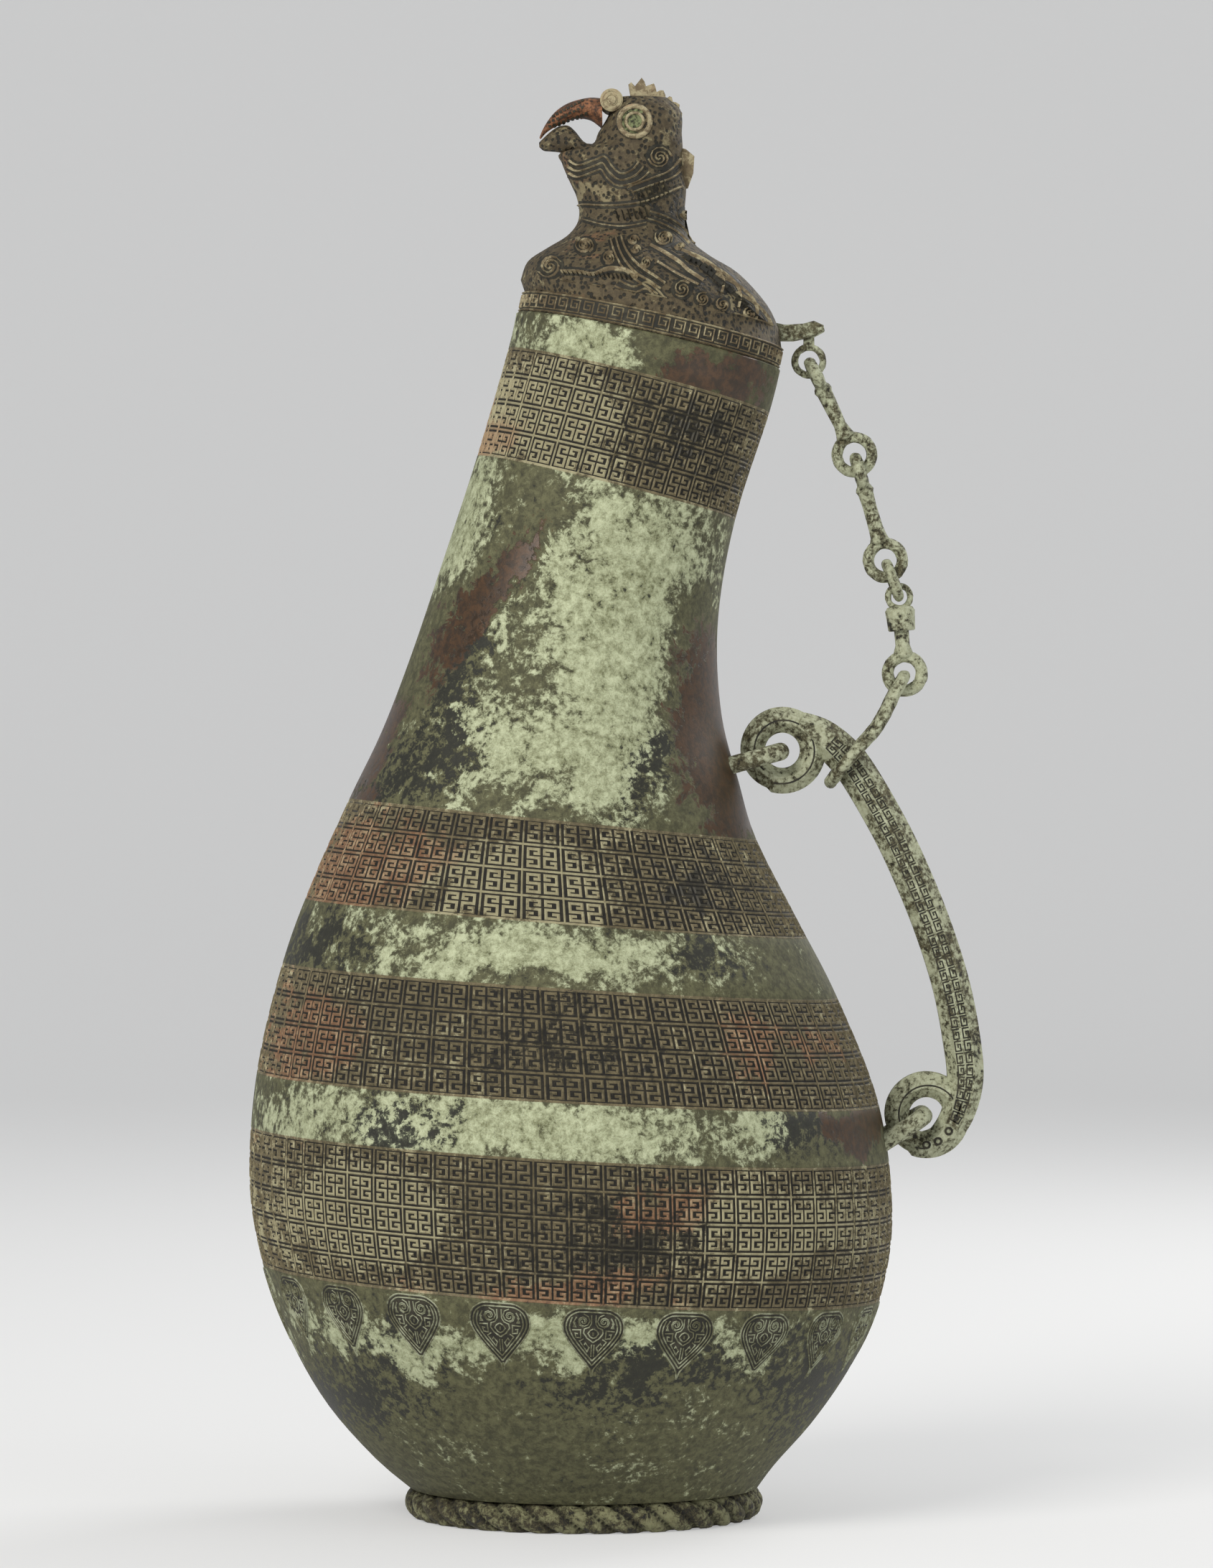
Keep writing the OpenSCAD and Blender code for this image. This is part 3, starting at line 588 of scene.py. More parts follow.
def tones(**changes):
    """The colours and shares of the patina, with some of them changed."""
    looks = bpy.context.scene.hu_looks
    tone = {
        "high": tuple(looks.mint), "soft": srgb(116, 119, 84), "middle": srgb(102, 101, 70),
        "low": srgb(66, 65, 43), "black": srgb(22, 23, 17), "orange": tuple(looks.rust),
        "brown": tuple(looks.bare), "umber": srgb(80, 56, 33),
        "pale": 0.05, "dark": 0.06, "bare": -0.3, "rust": -0.6,
    }
    tone.update(changes)
    return tone


# The colours of each material that differ from the gourd's, then its relief, grain and extras
LOOKS = {
    "gourd_patina": ({}, {"relief": 0.45, "spots": GOURD_SPOTS, "ground": True}),
    "ridge_patina": ({"high": (176, 170, 136), "soft": (146, 137, 106), "middle": (126, 115, 86),
                      "low": (88, 80, 57), "brown": (108, 86, 60), "umber": (122, 98, 70),
                      "orange": (156, 104, 74), "black": (42, 40, 31), "rust": 0.05, "dark": -0.02,
                      "pale": 0.25, "bare": -0.5}, {"relief": 0.2, "spots": BAND_SPOTS}),
    "leaf_ridge": ({"high": (164, 168, 142), "soft": (140, 142, 114), "middle": (118, 118, 90),
                    "low": (94, 92, 68), "dark": -0.3, "bare": -0.8, "rust": -0.5},
                   {"relief": 0.2}),
    # Near black: painted shade on the grounds of the relief and in the cover's cuts, and the colour
    # of the dark inlaid lines, dashes and eye sockets.
    "inlay_and_shade": ({"high": (62, 58, 44), "soft": (50, 47, 35), "middle": (42, 40, 30),
                    "low": (32, 31, 23), "dark": -0.2, "bare": -0.8, "rust": -0.6},
                   {"relief": 0.2}),
    "cover_patina": ({"high": (148, 138, 104), "soft": (120, 108, 80), "middle": (98, 86, 61),
                      "low": (70, 60, 42), "orange": (138, 100, 70), "pale": 0.2, "dark": -0.15,
                      "bare": -0.8, "rust": -0.1},
                     {"relief": 0.6, "pits": 0.7, "spots": COVER_SPOTS_AND_SHADE}),
    "cover_ridge": ({"high": (176, 166, 132), "soft": (152, 139, 108), "middle": (130, 115, 86),
                     "low": (104, 90, 66), "orange": (150, 110, 78), "dark": -0.5, "bare": -0.8,
                     "rust": -0.3}, {"relief": 0.2}),
    "eye_green": ({"high": (134, 142, 100), "soft": (108, 114, 76), "middle": (86, 90, 58),
                   "low": (60, 60, 38), "bare": -0.8, "rust": -0.8}, {"relief": 0.5, "grain": 2.0}),
    "crust_patina": ({"high": (196, 200, 170), "soft": (146, 146, 114), "middle": (114, 108, 78),
                      "low": (76, 70, 48), "pale": 0.22, "dark": -0.1, "bare": -0.8, "rust": -0.5},
                     {"relief": 0.7, "grain": 1.7}),
    "rope_patina": ({"high": (142, 142, 106), "soft": (112, 108, 76), "middle": (86, 80, 54),
                     "low": (58, 52, 36), "bare": -0.8, "rust": -0.5},
                    {"relief": 0.6, "grain": 1.4, "ground": True}),
    "copper_red": ({"high": (152, 104, 70), "soft": (134, 88, 58), "middle": (112, 74, 48),
                    "low": (78, 53, 36), "black": (38, 28, 20), "bare": -0.8, "rust": -1.5},
                   {"relief": 0.3, "grain": 2.0}),
}


def material(name):
    """The material of that name, made on its first use."""
    if name not in bpy.data.materials:
        colours, extras = LOOKS[name]
        patina(name, tones(**{key: srgb(*value) if isinstance(value, tuple) else value
                              for key, value in colours.items()}), **extras)
    return bpy.data.materials[name]


def length_setting(name, description, default):
    """A setting for a length."""
    return FloatProperty(name=name, description=description, default=default, unit="LENGTH")


def colour_setting(name, description, default):
    """A setting for a colour."""
    return FloatVectorProperty(name=name, description=description, default=default,
                               subtype="COLOR", size=4, min=0, max=1)


class HuSizes(PropertyGroup):
    """Sizes of the looks that the frame leaves open."""
    body_sides: IntProperty(name="Body sides", description="Sides of each ring of the gourd",
                            default=144, min=48, max=256)
    ridge_height: length_setting("Ridge height", "Height of the ornament's ridges", 0.00037)
    ridge_width: length_setting("Ridge width", "Width of the ornament's ridges", 0.001)
    pit_depth: length_setting("Pit depth", "Depth of the pits in the crusted links", 0.0003)


class HuLooks(PropertyGroup):
    """Colours of the patina and the stage."""
    mint: colour_setting("Mint", "Palest green of the patina", srgb(196, 202, 166))
    rust: colour_setting("Rust", "Orange spots in the ornament", srgb(150, 98, 66))
    bare: colour_setting("Bare bronze", "Brown metal between the patches", srgb(52, 39, 25))
    floor: colour_setting("Floor", "Colour of the floor and backdrop", (0.8, 0.8, 0.79, 1))


def sizes():
    """The sizes in mm."""
    s = bpy.context.scene.hu_sizes
    return s.body_sides, s.ridge_height / MM, s.ridge_width / MM, s.pit_depth / MM


def in_band(z):
    """Whether a centre height of the gourd lies in an ornament band."""
    return any(low < z < high for low, high, _, _ in BANDS.values())


class HU_OT_gourd(Operator):
    """Build the cast gourd with its lip and its hollow"""
    bl_idname = "hu.gourd"
    bl_label = "Gourd"

    def execute(self, context):
        sides = sizes()[0]
        angles = np.degrees(around(sides))
        edges = [z for band in BANDS.values() for z in band[:2]]
        heights = [8.2, 10, 12.5, 15.5] + list(np.arange(19, 327, 3.2)) + [327]
        heights = [z for z in heights if all(abs(z - edge) >= 1.2 for edge in edges)]
        heights += [edge + side for edge in edges for side in (-0.25, 0.25)]
        heights.sort()
        rings = [GOURD.points(angles, GOURD.place(z), -SUNK if in_band(z) else 0.0)
                 for z in heights]
        rings[-1] = mouth_ring(37.6, -0.4, sides)
        rings += [mouth_ring(r, up, sides) for r, up in LIP]
        rings += [GOURD.points(angles, GOURD.place(z), -WALL) for z in range(312, 20, -12)]
        rings.append(GOURD.points(angles, GOURD.place(12.2), -WALL - 6))
        bm = bmesh.new()
        sweep(bm, rings)
        # Painted shade: the rings of the sunk bands are set to 1 in the ground attribute, which the
        # material turns near black.
        ground = bm.verts.layers.float.new("ground")
        bm.verts.ensure_lookup_table()
        for k, z in enumerate(heights):
            for vert in bm.verts[k * sides:(k + 1) * sides]:
                vert[ground] = float(in_band(z))
        finish_piece("gourd", bm, "vessel", "gourd_patina", "vessel_body")
        bm = bmesh.new()
        turn = around(96)
        sweep(bm, [np.stack([r * np.cos(turn), r * np.sin(turn), np.full(96, z)], 1)
                   for r, z in FOOT_PIPE], closed=True)
        finish_piece("foot_pipe", bm, "vessel", "gourd_patina")
        return {"FINISHED"}


# One S of the thunder pattern on a grid of 7 by 6 lines, from the middle of its upper curl
S_CURL = ((2, 4), (3, 4), (3, 5), (1, 5), (1, 3), (3, 3), (3, 1), (1, 1), (1, 2), (2, 2))


class HU_OT_bands(Operator):
    """Build the four bands of thunder pattern on the gourd"""
    bl_idname = "hu.bands"
    bl_label = "Thunder bands"

    def execute(self, context):
        _, tall, wide, _ = sizes()
        for name, (low, high, rows, cells) in BANDS.items():
            step_z = (high - low) / rows
            radius = float(GOURD.frame_at(GOURD.place((low + high) / 2))[2][0])
            step_x = 2 * math.pi * radius / cells
            grid = np.array([step_x / 7, step_z / 6])

            def place(x, z, lift):
                return GOURD.points(np.degrees(x / radius), GOURD.place(low + z), lift - SUNK)

            motif = bmesh.new()
            for mirror in (False, True):
                path = np.array([(7 - p[0] if mirror else p[0], p[1]) for p in S_CURL]) * grid
                ridge(motif, lambda x, z, lift: np.stack([x, z, lift], 1), path, wide, tall)
            bmesh.ops.recalc_face_normals(motif, faces=motif.faces)
            pattern = bpy.data.meshes.new("motif")
            motif.to_mesh(pattern)
            motif.free()
            bm = bmesh.new()
            for _ in range(rows * cells):
                bm.from_mesh(pattern)
            verts = np.array([v.co[:] for v in bm.verts])
            index = np.arange(len(verts)) // len(pattern.vertices)
            verts[:, 0] += (index % cells) * step_x
            verts[:, 1] += (index // cells) * step_z
            for vert, spot in zip(bm.verts, place(verts[:, 0], verts[:, 1], verts[:, 2])):
                vert.co = spot
            bpy.data.meshes.remove(pattern)
            round_path = around(240) * radius
            for row in range(rows + 1):
                rim = row in (0, rows)
                hoop(bm, place, round_path, row * step_z, wide * (1.5 if rim else 0.8),
                     tall * (1 if rim else 0.9))
            for cell in range(cells):
                ridge(bm, place, [(cell * step_x, row * step_z) for row in range(rows + 1)],
                      wide * 0.7, tall * 0.9)
            finish_piece("band_" + name, bm, "vessel", "ridge_patina", smooth=False)
        return {"FINISHED"}


def hoop(bm, place, xs, z, wide, tall):
    """A ridge that goes right round at one height."""
    flat = np.concatenate([[[x, z + wide / 2], [x, z], [x, z - wide / 2]] for x in xs])
    lift = np.tile([FOOTING, tall, FOOTING], len(xs))
    sweep(bm, place(flat[:, 0], flat[:, 1], lift).reshape(len(xs), 3, 3), closed=True)


# How many leaves hang round the belly, and where the first one is (degrees)
LEAVES, FIRST_LEAF = 21, 274.4
# Right half of a hanging leaf, in mm from the middle of its top
LEAF_EDGES = (
    ((0, 0), (3.4, 0), (5.2, -0.5), (7.2, -2), (8.1, -4.5), (7.7, -7), (5.7, -10.2), (2.7, -13.8),
     (0.6, -16.4), (0.1, -18.6)),
    ((0, -0.9), (3.4, -0.9), (4.9, -1.3), (6.5, -2.6), (7.2, -4.7), (6.9, -6.8), (5, -9.8),
     (2.2, -13.1), (0.05, -15.5)),
    ((5.6, -2.4), (6.3, -4.7), (6, -6.6), (4.4, -9.2), (1.8, -12.3), (0.05, -14.2)),
)
LEAF_STROKES = (
    ((0.6, -1.6), (0.6, -4), (1.2, -5), (2.4, -5.5), (2.6, -6.6), (1.6, -8), (0.05, -9.1)),
    ((0.05, -5.4), (0.9, -5.9), (1.4, -6.7), (0.8, -7.6), (0.05, -8)),
    ((0.05, -6.3), (0.05, -7.2)),
    ((4.5, -2.3), (5.3, -3.8), (4.7, -5), (5.3, -5), (4.9, -3.6)),
    ((5.6, -5.9), (3.4, -5.8), (3.3, -8), (4.6, -7.9), (4.8, -6.8), (4.1, -6.9)),
    ((2.5, -8.2), (3.6, -8.9), (1.5, -11.7), (1, -10.6), (2, -9.4), (2.3, -9.9)),
    ((0.35, -9.7), (0.35, -13)),
)


class HU_OT_fringe(Operator):
    """Build the row of hanging leaves below the lowest band"""
    bl_idname = "hu.fringe"
    bl_label = "Leaf fringe"

    def execute(self, context):
        _, tall, wide, _ = sizes()
        low = BANDS["lower_belly"][0] - 0.9
        radius = float(GOURD.frame_at(GOURD.place(low - 8))[2][0])
        thin = wide * 0.62
        bm, grounds = bmesh.new(), bmesh.new()
        for leaf in range(LEAVES):
            centre = FIRST_LEAF + leaf * 360 / LEAVES

            def place(x, z, lift):
                return GOURD.points(centre + np.degrees(x / radius), GOURD.place(low + z), lift)
            half = catmull(LEAF_EDGES[0], np.linspace(1, len(LEAF_EDGES[0]) - 2, 16))
            edge = np.concatenate([half, half[::-1] * (-1, 1)])
            # Painted shade: a near-black sheet under the leaf's ridges.
            sheet(grounds, place, edge, np.array([0, -5.5]))
            for sign in (-1, 1):
                for stroke in LEAF_EDGES:
                    path = catmull(stroke, np.linspace(0, len(stroke) - 1, 2 * len(stroke)))
                    ridge(bm, place, path * (sign, 1), thin, tall * 0.8)
                for stroke in LEAF_STROKES:
                    ridge(bm, place, np.array(stroke) * (sign, 1), thin, tall * 0.7)
                for r, start in ((2.0, 90), (1.6, 270)):
                    ridge(bm, place, spiral(sign * 2.7, -3.4, r, 0.3, start, sign * 1.3, 9),
                          thin * 0.8, tall * 0.8)
        finish_piece("leaf_fringe", bm, "vessel", "leaf_ridge", smooth=False)
        finish_piece("leaf_ground_shade", grounds, "vessel", "inlay_and_shade")
        return {"FINISHED"}


class HU_OT_foot(Operator):
    """Build the twisted rope ring around the foot"""
    bl_idname = "hu.foot"
    bl_label = "Rope foot"

    def execute(self, context):
        rope_r, thick, bulge, crests, strands, sides = 45.3, 3.75, 0.8, 36, 3, 24
        rings, crease_shade = [], []
        b = around(sides)
        for a in around(288):
            crest = np.abs(np.cos((strands * b + crests * a) / 2))
            # Painted shade: the creases between the strands, deepest where they meet, go into the
            # ground attribute, which the material turns near black.
            crease_shade += list(1 - np.minimum(crest * 2, 1))
            t = thick + bulge * (2 * crest ** 0.6 - 1)
            x = rope_r + t * np.cos(b)
            z = np.maximum(4.05 + t * np.sin(b), 0.0)
            rings.append(np.stack([x * math.cos(a), x * math.sin(a), z], 1))
        bm = bmesh.new()
        sweep(bm, rings, closed=True)
        ground = bm.verts.layers.float.new("ground")
        for vert, crease in zip(bm.verts, crease_shade):
            vert[ground] = crease
        finish_piece("rope_ring", bm, "vessel", "rope_patina", "foot_ring", angle=70)
        return {"FINISHED"}


def upright(stations, count, sides):
    """Rings across a jaw or beak that runs to -X."""
    rings = []
    turn = around(sides)
    for s in catmull(stations, np.linspace(0, len(stations) - 1, count)):
        mid, half = (s[:2] + s[2:4]) / 2, (s[:2] - s[2:4]) / 2
        rings.append(np.stack([mid[0] + half[0] * np.cos(turn), s[4] * np.sin(turn),
                               mid[1] + half[1] * np.cos(turn)], 1))
    return rings


def plate(bm, outline, thick, rounding=0.0):
    """A plate of an XZ outline, centred on the XZ plane, its edges rounded."""
    front = [bm.verts.new((x, -thick / 2, z)) for x, z in outline]
    made = bmesh.ops.extrude_face_region(bm, geom=[bm.faces.new(front)])["geom"]
    back = [g for g in made if isinstance(g, bmesh.types.BMVert)]
    bmesh.ops.translate(bm, vec=(0, thick, 0), verts=back)
    if rounding:
        rims = [e for e in bm.edges if any(set(e.verts) <= set(face) for face in (front, back))]
        bmesh.ops.bevel(bm, geom=rims, offset=rounding, affect="EDGES", segments=2, profile=0.5,
                        material=-1)


def rod(bm, middle, radius, y0, y1, sides=32, lip=0.15):
    """A cross rod through a place of the XZ plane, with softened ends."""
    sweep(bm, [disc(middle, r, y, sides)
               for r, y in ((radius - lip, y0), (radius, y0 + lip), (radius, y1 - lip),
                            (radius - lip, y1))])


class HU_OT_cover(Operator):
    """Build the cover: rim, skirt, hollow bird, lower jaw, comb and hinge knuckle"""
    bl_idname = "hu.cover"
    bl_label = "Bird cover"

    def execute(self, context):
        sides = 96
        angles = np.degrees(around(sides))
        hollow = Skin(HOLLOW)
        inner = [hollow.flat(angles, np.full(sides, v)) for v in np.linspace(8, 0, 17)]
        outer = [BIRD.flat(angles, np.full(sides, v)) for v in np.linspace(0, 15, 61)]
        bm = bmesh.new()
        sweep(bm, inner + [mouth_ring(r, up, sides) for r, up in SKIRT] + outer)
        sweep(bm, upright(JAW, 29, 32))
        finish_piece("cover", bm, "lid", "cover_patina", "lid")
        bm = bmesh.new()
        plate(bm, COMB, 3.0, 0.35)
        plate(bm, NAPE, 3.2, 0.4)
        rod(bm, PIVOT, 3.2, -3.6, 3.6)
        finish_piece("comb", bm, "lid", "cover_ridge")
        return {"FINISHED"}


# The photo's scale in mm per pixel, and the pixel of the middle of the foot on the ground
PIXEL, ORIGIN = 0.2, (813.5, 2110)


def photo(places):
    """Places in pixels of the photo as x, z in mm."""
    return (np.asarray(places, float) - ORIGIN) * (PIXEL, -PIXEL)


# Strokes of the cover's relief, in pixels of the photo: points, then width and height in mm
PLUMES = (
    (((858, 339), (863, 359), (872, 378), (886, 394), (905, 406), (919, 416)), 0.9, 0.8),
    (((851, 342), (856, 362), (866, 384), (882, 401), (902, 414), (915, 424)), 0.9, 0.8),
    (((865, 336), (870, 354), (879, 371), (893, 386), (911, 398), (925, 408)), 0.9, 0.8),
    (((863, 404), (882, 413), (900, 407), (915, 418), (926, 432)), 0.9, 0.8),
    (((857, 412), (880, 422), (899, 416), (910, 426), (918, 438)), 0.9, 0.8),
    (((784, 388), (808, 390), (827, 394), (848, 387), (872, 390), (888, 400)), 1.6, 1.1),
    (((915, 376), (940, 392), (971, 408)), 1.2, 0.5),
    (((905, 350), (925, 361), (945, 375), (957, 387), (978, 401)), 1.9, 0.6),
    (((948, 356), (975, 367), (996, 382), (1006, 400), (1003, 418)), 1.2, 0.7),
    (((972, 372), (1000, 384), (1020, 400), (1029, 418), (1026, 438)), 1.2, 0.7),
    (((994, 391), (1020, 402), (1042, 418), (1052, 436), (1050, 456)), 1.2, 0.7),
    (((1022, 416), (1044, 426), (1064, 442), (1074, 460)), 1.2, 0.7),
    (((958, 362), (978, 371), (994, 384), (1001, 402)), 0.9, 0.6),
    (((1018, 451), (1032, 458), (1050, 464), (1070, 466)), 1.1, 0.7),
    (((793, 226), (806, 234), (829, 228), (843, 224), (853, 238), (865, 248), (880, 243),
      (889, 232)), 0.9, 0.7),
    (((791, 234), (806, 242), (829, 236), (840, 233), (849, 246), (864, 257), (884, 251),
      (896, 238)), 0.9, 0.7),
    (((793, 243), (806, 250), (828, 244), (838, 242), (846, 254), (862, 265), (888, 259),
      (904, 245)), 0.9, 0.6),
    (((873, 268), (905, 255), (932, 242), (948, 222)), 0.9, 0.7),
    (((882, 274), (912, 262), (938, 250), (953, 232)), 0.9, 0.7),
    (((806, 286), (850, 292), (900, 286), (950, 262)), 1.0, 0.6),
    (((812, 308), (838, 318), (868, 322), (900, 316)), 0.8, 0.5),
    (((905, 300), (929, 307), (950, 318), (968, 334)), 0.9, 0.6),
    (((899, 310), (923, 317), (944, 328), (960, 343)), 0.9, 0.6),
)
# Curls of the same relief: middle and radius in pixels, turns, start (degrees)
CURLS = (
    (768, 380, 17, 2.2, 200), (815.5, 351, 14, 2.4, 120), (848.5, 372, 10, 1.8, 60),
    (882, 344, 8, 1.5, 0), (885, 359, 7, 1.3, 0), (899, 379, 9, 1.6, 20), (948, 416, 13, 1.8, 40),
    (976, 429, 10, 1.7, 60), (924, 339, 13, 2.2, 150), (945, 352, 7, 1.2, 0),
    (918, 224, 17, 2.2, 10), (1003, 436, 10, 1.6, 90), (1040, 446, 9, 1.5, 90),
    (905, 432, 9, 1.5, 0), (790, 414, 9, 1.5, 180), (830, 418, 9, 1.6, 0),
    (866, 432, 8, 1.5, 40), (955, 300, 9, 1.5, 0),
)
# Rows of short cuts, drawn as near-black marks of painted shade: first place, step and length in
# pixels, and how many
HATCHES = (
    ((786, 386), (6, 0.7), (3, 7), 16), ((950, 364), (7, 3.4), (9, 9), 6),
    ((974, 381), (7, 5.2), (9, 8), 6), ((994, 399), (7, 5.4), (9, 8), 6),
    ((1022, 425), (6, 5), (8, 6), 6), ((886, 274), (6, -3), (8, 20), 7),
    ((858, 300), (8, -1), (4, 14), 6),
)


class HU_OT_plumes(Operator):
    """Build the cover's relief: wings, scales, dragons and curls on both sides"""
    bl_idname = "hu.plumes"
    bl_label = "Plumes"

    def execute(self, context):
        bm, grounds = bmesh.new(), bmesh.new()
        for place in BIRD.both_sides():
            for stroke, wide, tall in PLUMES:
                path = catmull(photo(stroke), np.linspace(0, len(stroke) - 1, 4 * len(stroke)))
                ridge(bm, place, path, wide, tall, ROOTED)
                # Painted shade: a near-black strip along the foot of each stroke, a little wider
                # than it.
                ridge(grounds, place, path, wide + 1.1, 0.1, ROOTED, top=0.9)
            for px, py, radius, turns, start in CURLS:
                middle, = photo([(px, py)])
                r = radius * PIXEL
                # Painted shade: a near-black disc under each curl.
                sheet(grounds, place, spiral(*middle, r + 0.5, r + 0.5, 0, 23 / 24, 24), middle,
                      0.12)
                for outer, phase in ((r, 0), (r * 0.92, 180)):
                    ridge(bm, place, spiral(*middle, outer, 0.3, start + phase, turns * 0.6, 12),
                          0.62, 0.75, ROOTED)
            for (px, py), (dx, dy), (wide, tall), count in HATCHES:
                for k in range(count):
                    x, y = px + dx * k, py + dy * k
                    # Painted shade: each cut is a near-black mark.
                    ridge(grounds, place, photo([(x, y), (x + wide, y + tall)]), 0.5, 0.95, ROOTED)
        finish_piece("plumes", bm, "lid", "cover_ridge", smooth=False)
        finish_piece("plume_ground_shade", grounds, "lid", "inlay_and_shade", smooth=False)
        return {"FINISHED"}


# One unit of the rim's meander on a grid of 7 by 6 lines
RIM_CURL = ((0, 1), (6, 1), (6, 5), (1.5, 5), (1.5, 2.4), (4.6, 2.4), (4.6, 3.8), (3, 3.8))


class HU_OT_rim(Operator):
    """Build the meander around the cover's rim"""
    bl_idname = "hu.rim"
    bl_label = "Rim meander"

    def execute(self, context):
        count, radius, low, high = 53, 36.9, 0.5, RIM_H - 0.4
        s, c = math.sin(MOUTH_LEAN), math.cos(MOUTH_LEAN)

        def place(x, z, lift):
            a, r, up = np.asarray(x) / radius, radius + np.asarray(lift), np.asarray(z)
            out = r * np.cos(a)
            return np.stack([MOUTH[0] + out * c + up * s, r * np.sin(a),
                             MOUTH[1] - out * s + up * c], 1)
        step = 2 * math.pi * radius / count
        grid = np.array([step / 7, (high - low) / 6])
        bm, grounds = bmesh.new(), bmesh.new()
        for cell in range(count):
            path = np.array(RIM_CURL) * grid + (cell * step, low)
            ridge(bm, place, path, 0.62, 0.45, -0.15)
        round_path = around(180) * radius
        # Painted shade: a near-black band under the meander.
        sweep(grounds, [place([x] * 4, (low, low + 0.1, high - 0.1, high), (-0.2, 0.06, 0.06, -0.2))
                        for x in round_path], closed=True)
        finish_piece("rim_ground_shade", grounds, "lid", "inlay_and_shade")
        for z in (low + 0.1, high - 0.1):
            hoop(bm, place, round_path, z, 0.6, 0.45)
        finish_piece("rim_meander", bm, "lid", "cover_ridge", smooth=False)
        return {"FINISHED"}


class HU_OT_eyes(Operator):
    """Build the eyes: two rings and a raised disc on each side of the head"""
    bl_idname = "hu.eyes"
    bl_label = "Eyes"

    def execute(self, context):
        bm, discs, sockets = bmesh.new(), bmesh.new(), bmesh.new()

        def leaning(places, side):
            """Places that lean with the side of the head."""
            places[:, 1] += side * EYE_SLOPE * (EYE[1] - places[:, 2])
            return places

        def turned(target, side, profile):
            """A round boss: radius and height of each of its rings."""
            sweep(target, [leaning(disc(EYE, r, side * y, 32), side) for r, y in profile])
        for side in (-1, 1):
            for r, high, thick in EYE_RINGS:
                tube(bm, leaning(disc(EYE, r, side * high, 48), side), thick, 8, closed=True)
            turned(sockets, side, EYE_SOCKET)
            turned(discs, side, EYE_DISC)
        finish_piece("eye_rings", bm, "lid", "cover_ridge")
        finish_piece("eye_sockets", sockets, "lid", "inlay_and_shade")
        finish_piece("eye_discs", discs, "lid", "eye_green")
        return {"FINISHED"}


# How thick the hollow beak is, and where its ears start and end on a side
BEAK_WALL, EAR = 1.3, (3.9, 5.9)
# Rows of dark dashes on a side of the beak: first and last place, x and z
BEAK_ROWS = ((0, 393.6, -9, 389), (0.5, 392, -9.8, 387.6), (1, 390.2, -10.4, 386.4))


class HU_OT_beak(Operator):
    """Build the hinged upper beak with its ears"""
    bl_idname = "hu.beak"
    bl_label = "Upper beak"

    def execute(self, context):
        bm = bmesh.new()
        rings = upright(BEAK, 43, 36)
        shell = []
        for ring in rings[:31]:
            mid = ring.mean(0)
            least = np.linalg.norm(ring - mid, axis=1).min()
            shell.append(mid + (ring - mid) * (1 - BEAK_WALL / least))
        sweep(bm, shell[::-1] + rings)
        finish_piece("beak", bm, "beak", "copper_red", "upper_beak")
        bm = bmesh.new()
        for side in (-1, 1):
            rod(bm, PIVOT, 3.2, *sorted(side * y for y in EAR))
            for r in (2.6, 1.5):
                tube(bm, disc(PIVOT, r, side * (EAR[1] - 0.1), 48), 0.3, 8, closed=True)
        finish_piece("ears", bm, "beak", "cover_ridge")
        bm = bmesh.new()
        for place in HORN.both_sides():
            for row, (x0, z0, x1, z1) in enumerate(BEAK_ROWS):
                for k in range(9):
                    f = (k + 0.5 * (row % 2)) / 9
                    x, z = x0 + (x1 - x0) * f, z0 + (z1 - z0) * f
                    ridge(bm, place, [(x, z), (x - 0.7, z - 0.25)], 0.55, 0.08, ROOTED, top=0.9)
        finish_piece("beak_dashes", bm, "beak", "inlay_and_shade", slot="copper_bronze", smooth=False)
        return {"FINISHED"}


def section(w, t):
    """The eight-sided section of the handle: offsets across and along Y."""
    u, v, g = w / 2, t / 2, CHAMFER
    return [(u, g - v), (u, v - g), (u - g, v), (g - u, v), (-u, v - g), (-u, g - v), (g - u, -v),
            (u - g, -v)]


# One curl of the handle's meander: along and across (mm), then its pitch and how far in from the
# edge of the bar's face its middle lies
HANDLE_CURL = ((0, -0.9), (0, 0.9), (2.7, 0.9), (2.7, -0.6), (0.9, -0.6), (0.9, 0.1), (1.8, 0.1))
CURL_PITCH, CURL_INSET = 3.4, 1.25
# How far the lines on the scrolls lie from their edges, and the points of the stem with a stud
LINE_INSET, STUDS = 2.7, (53, 56, 59)


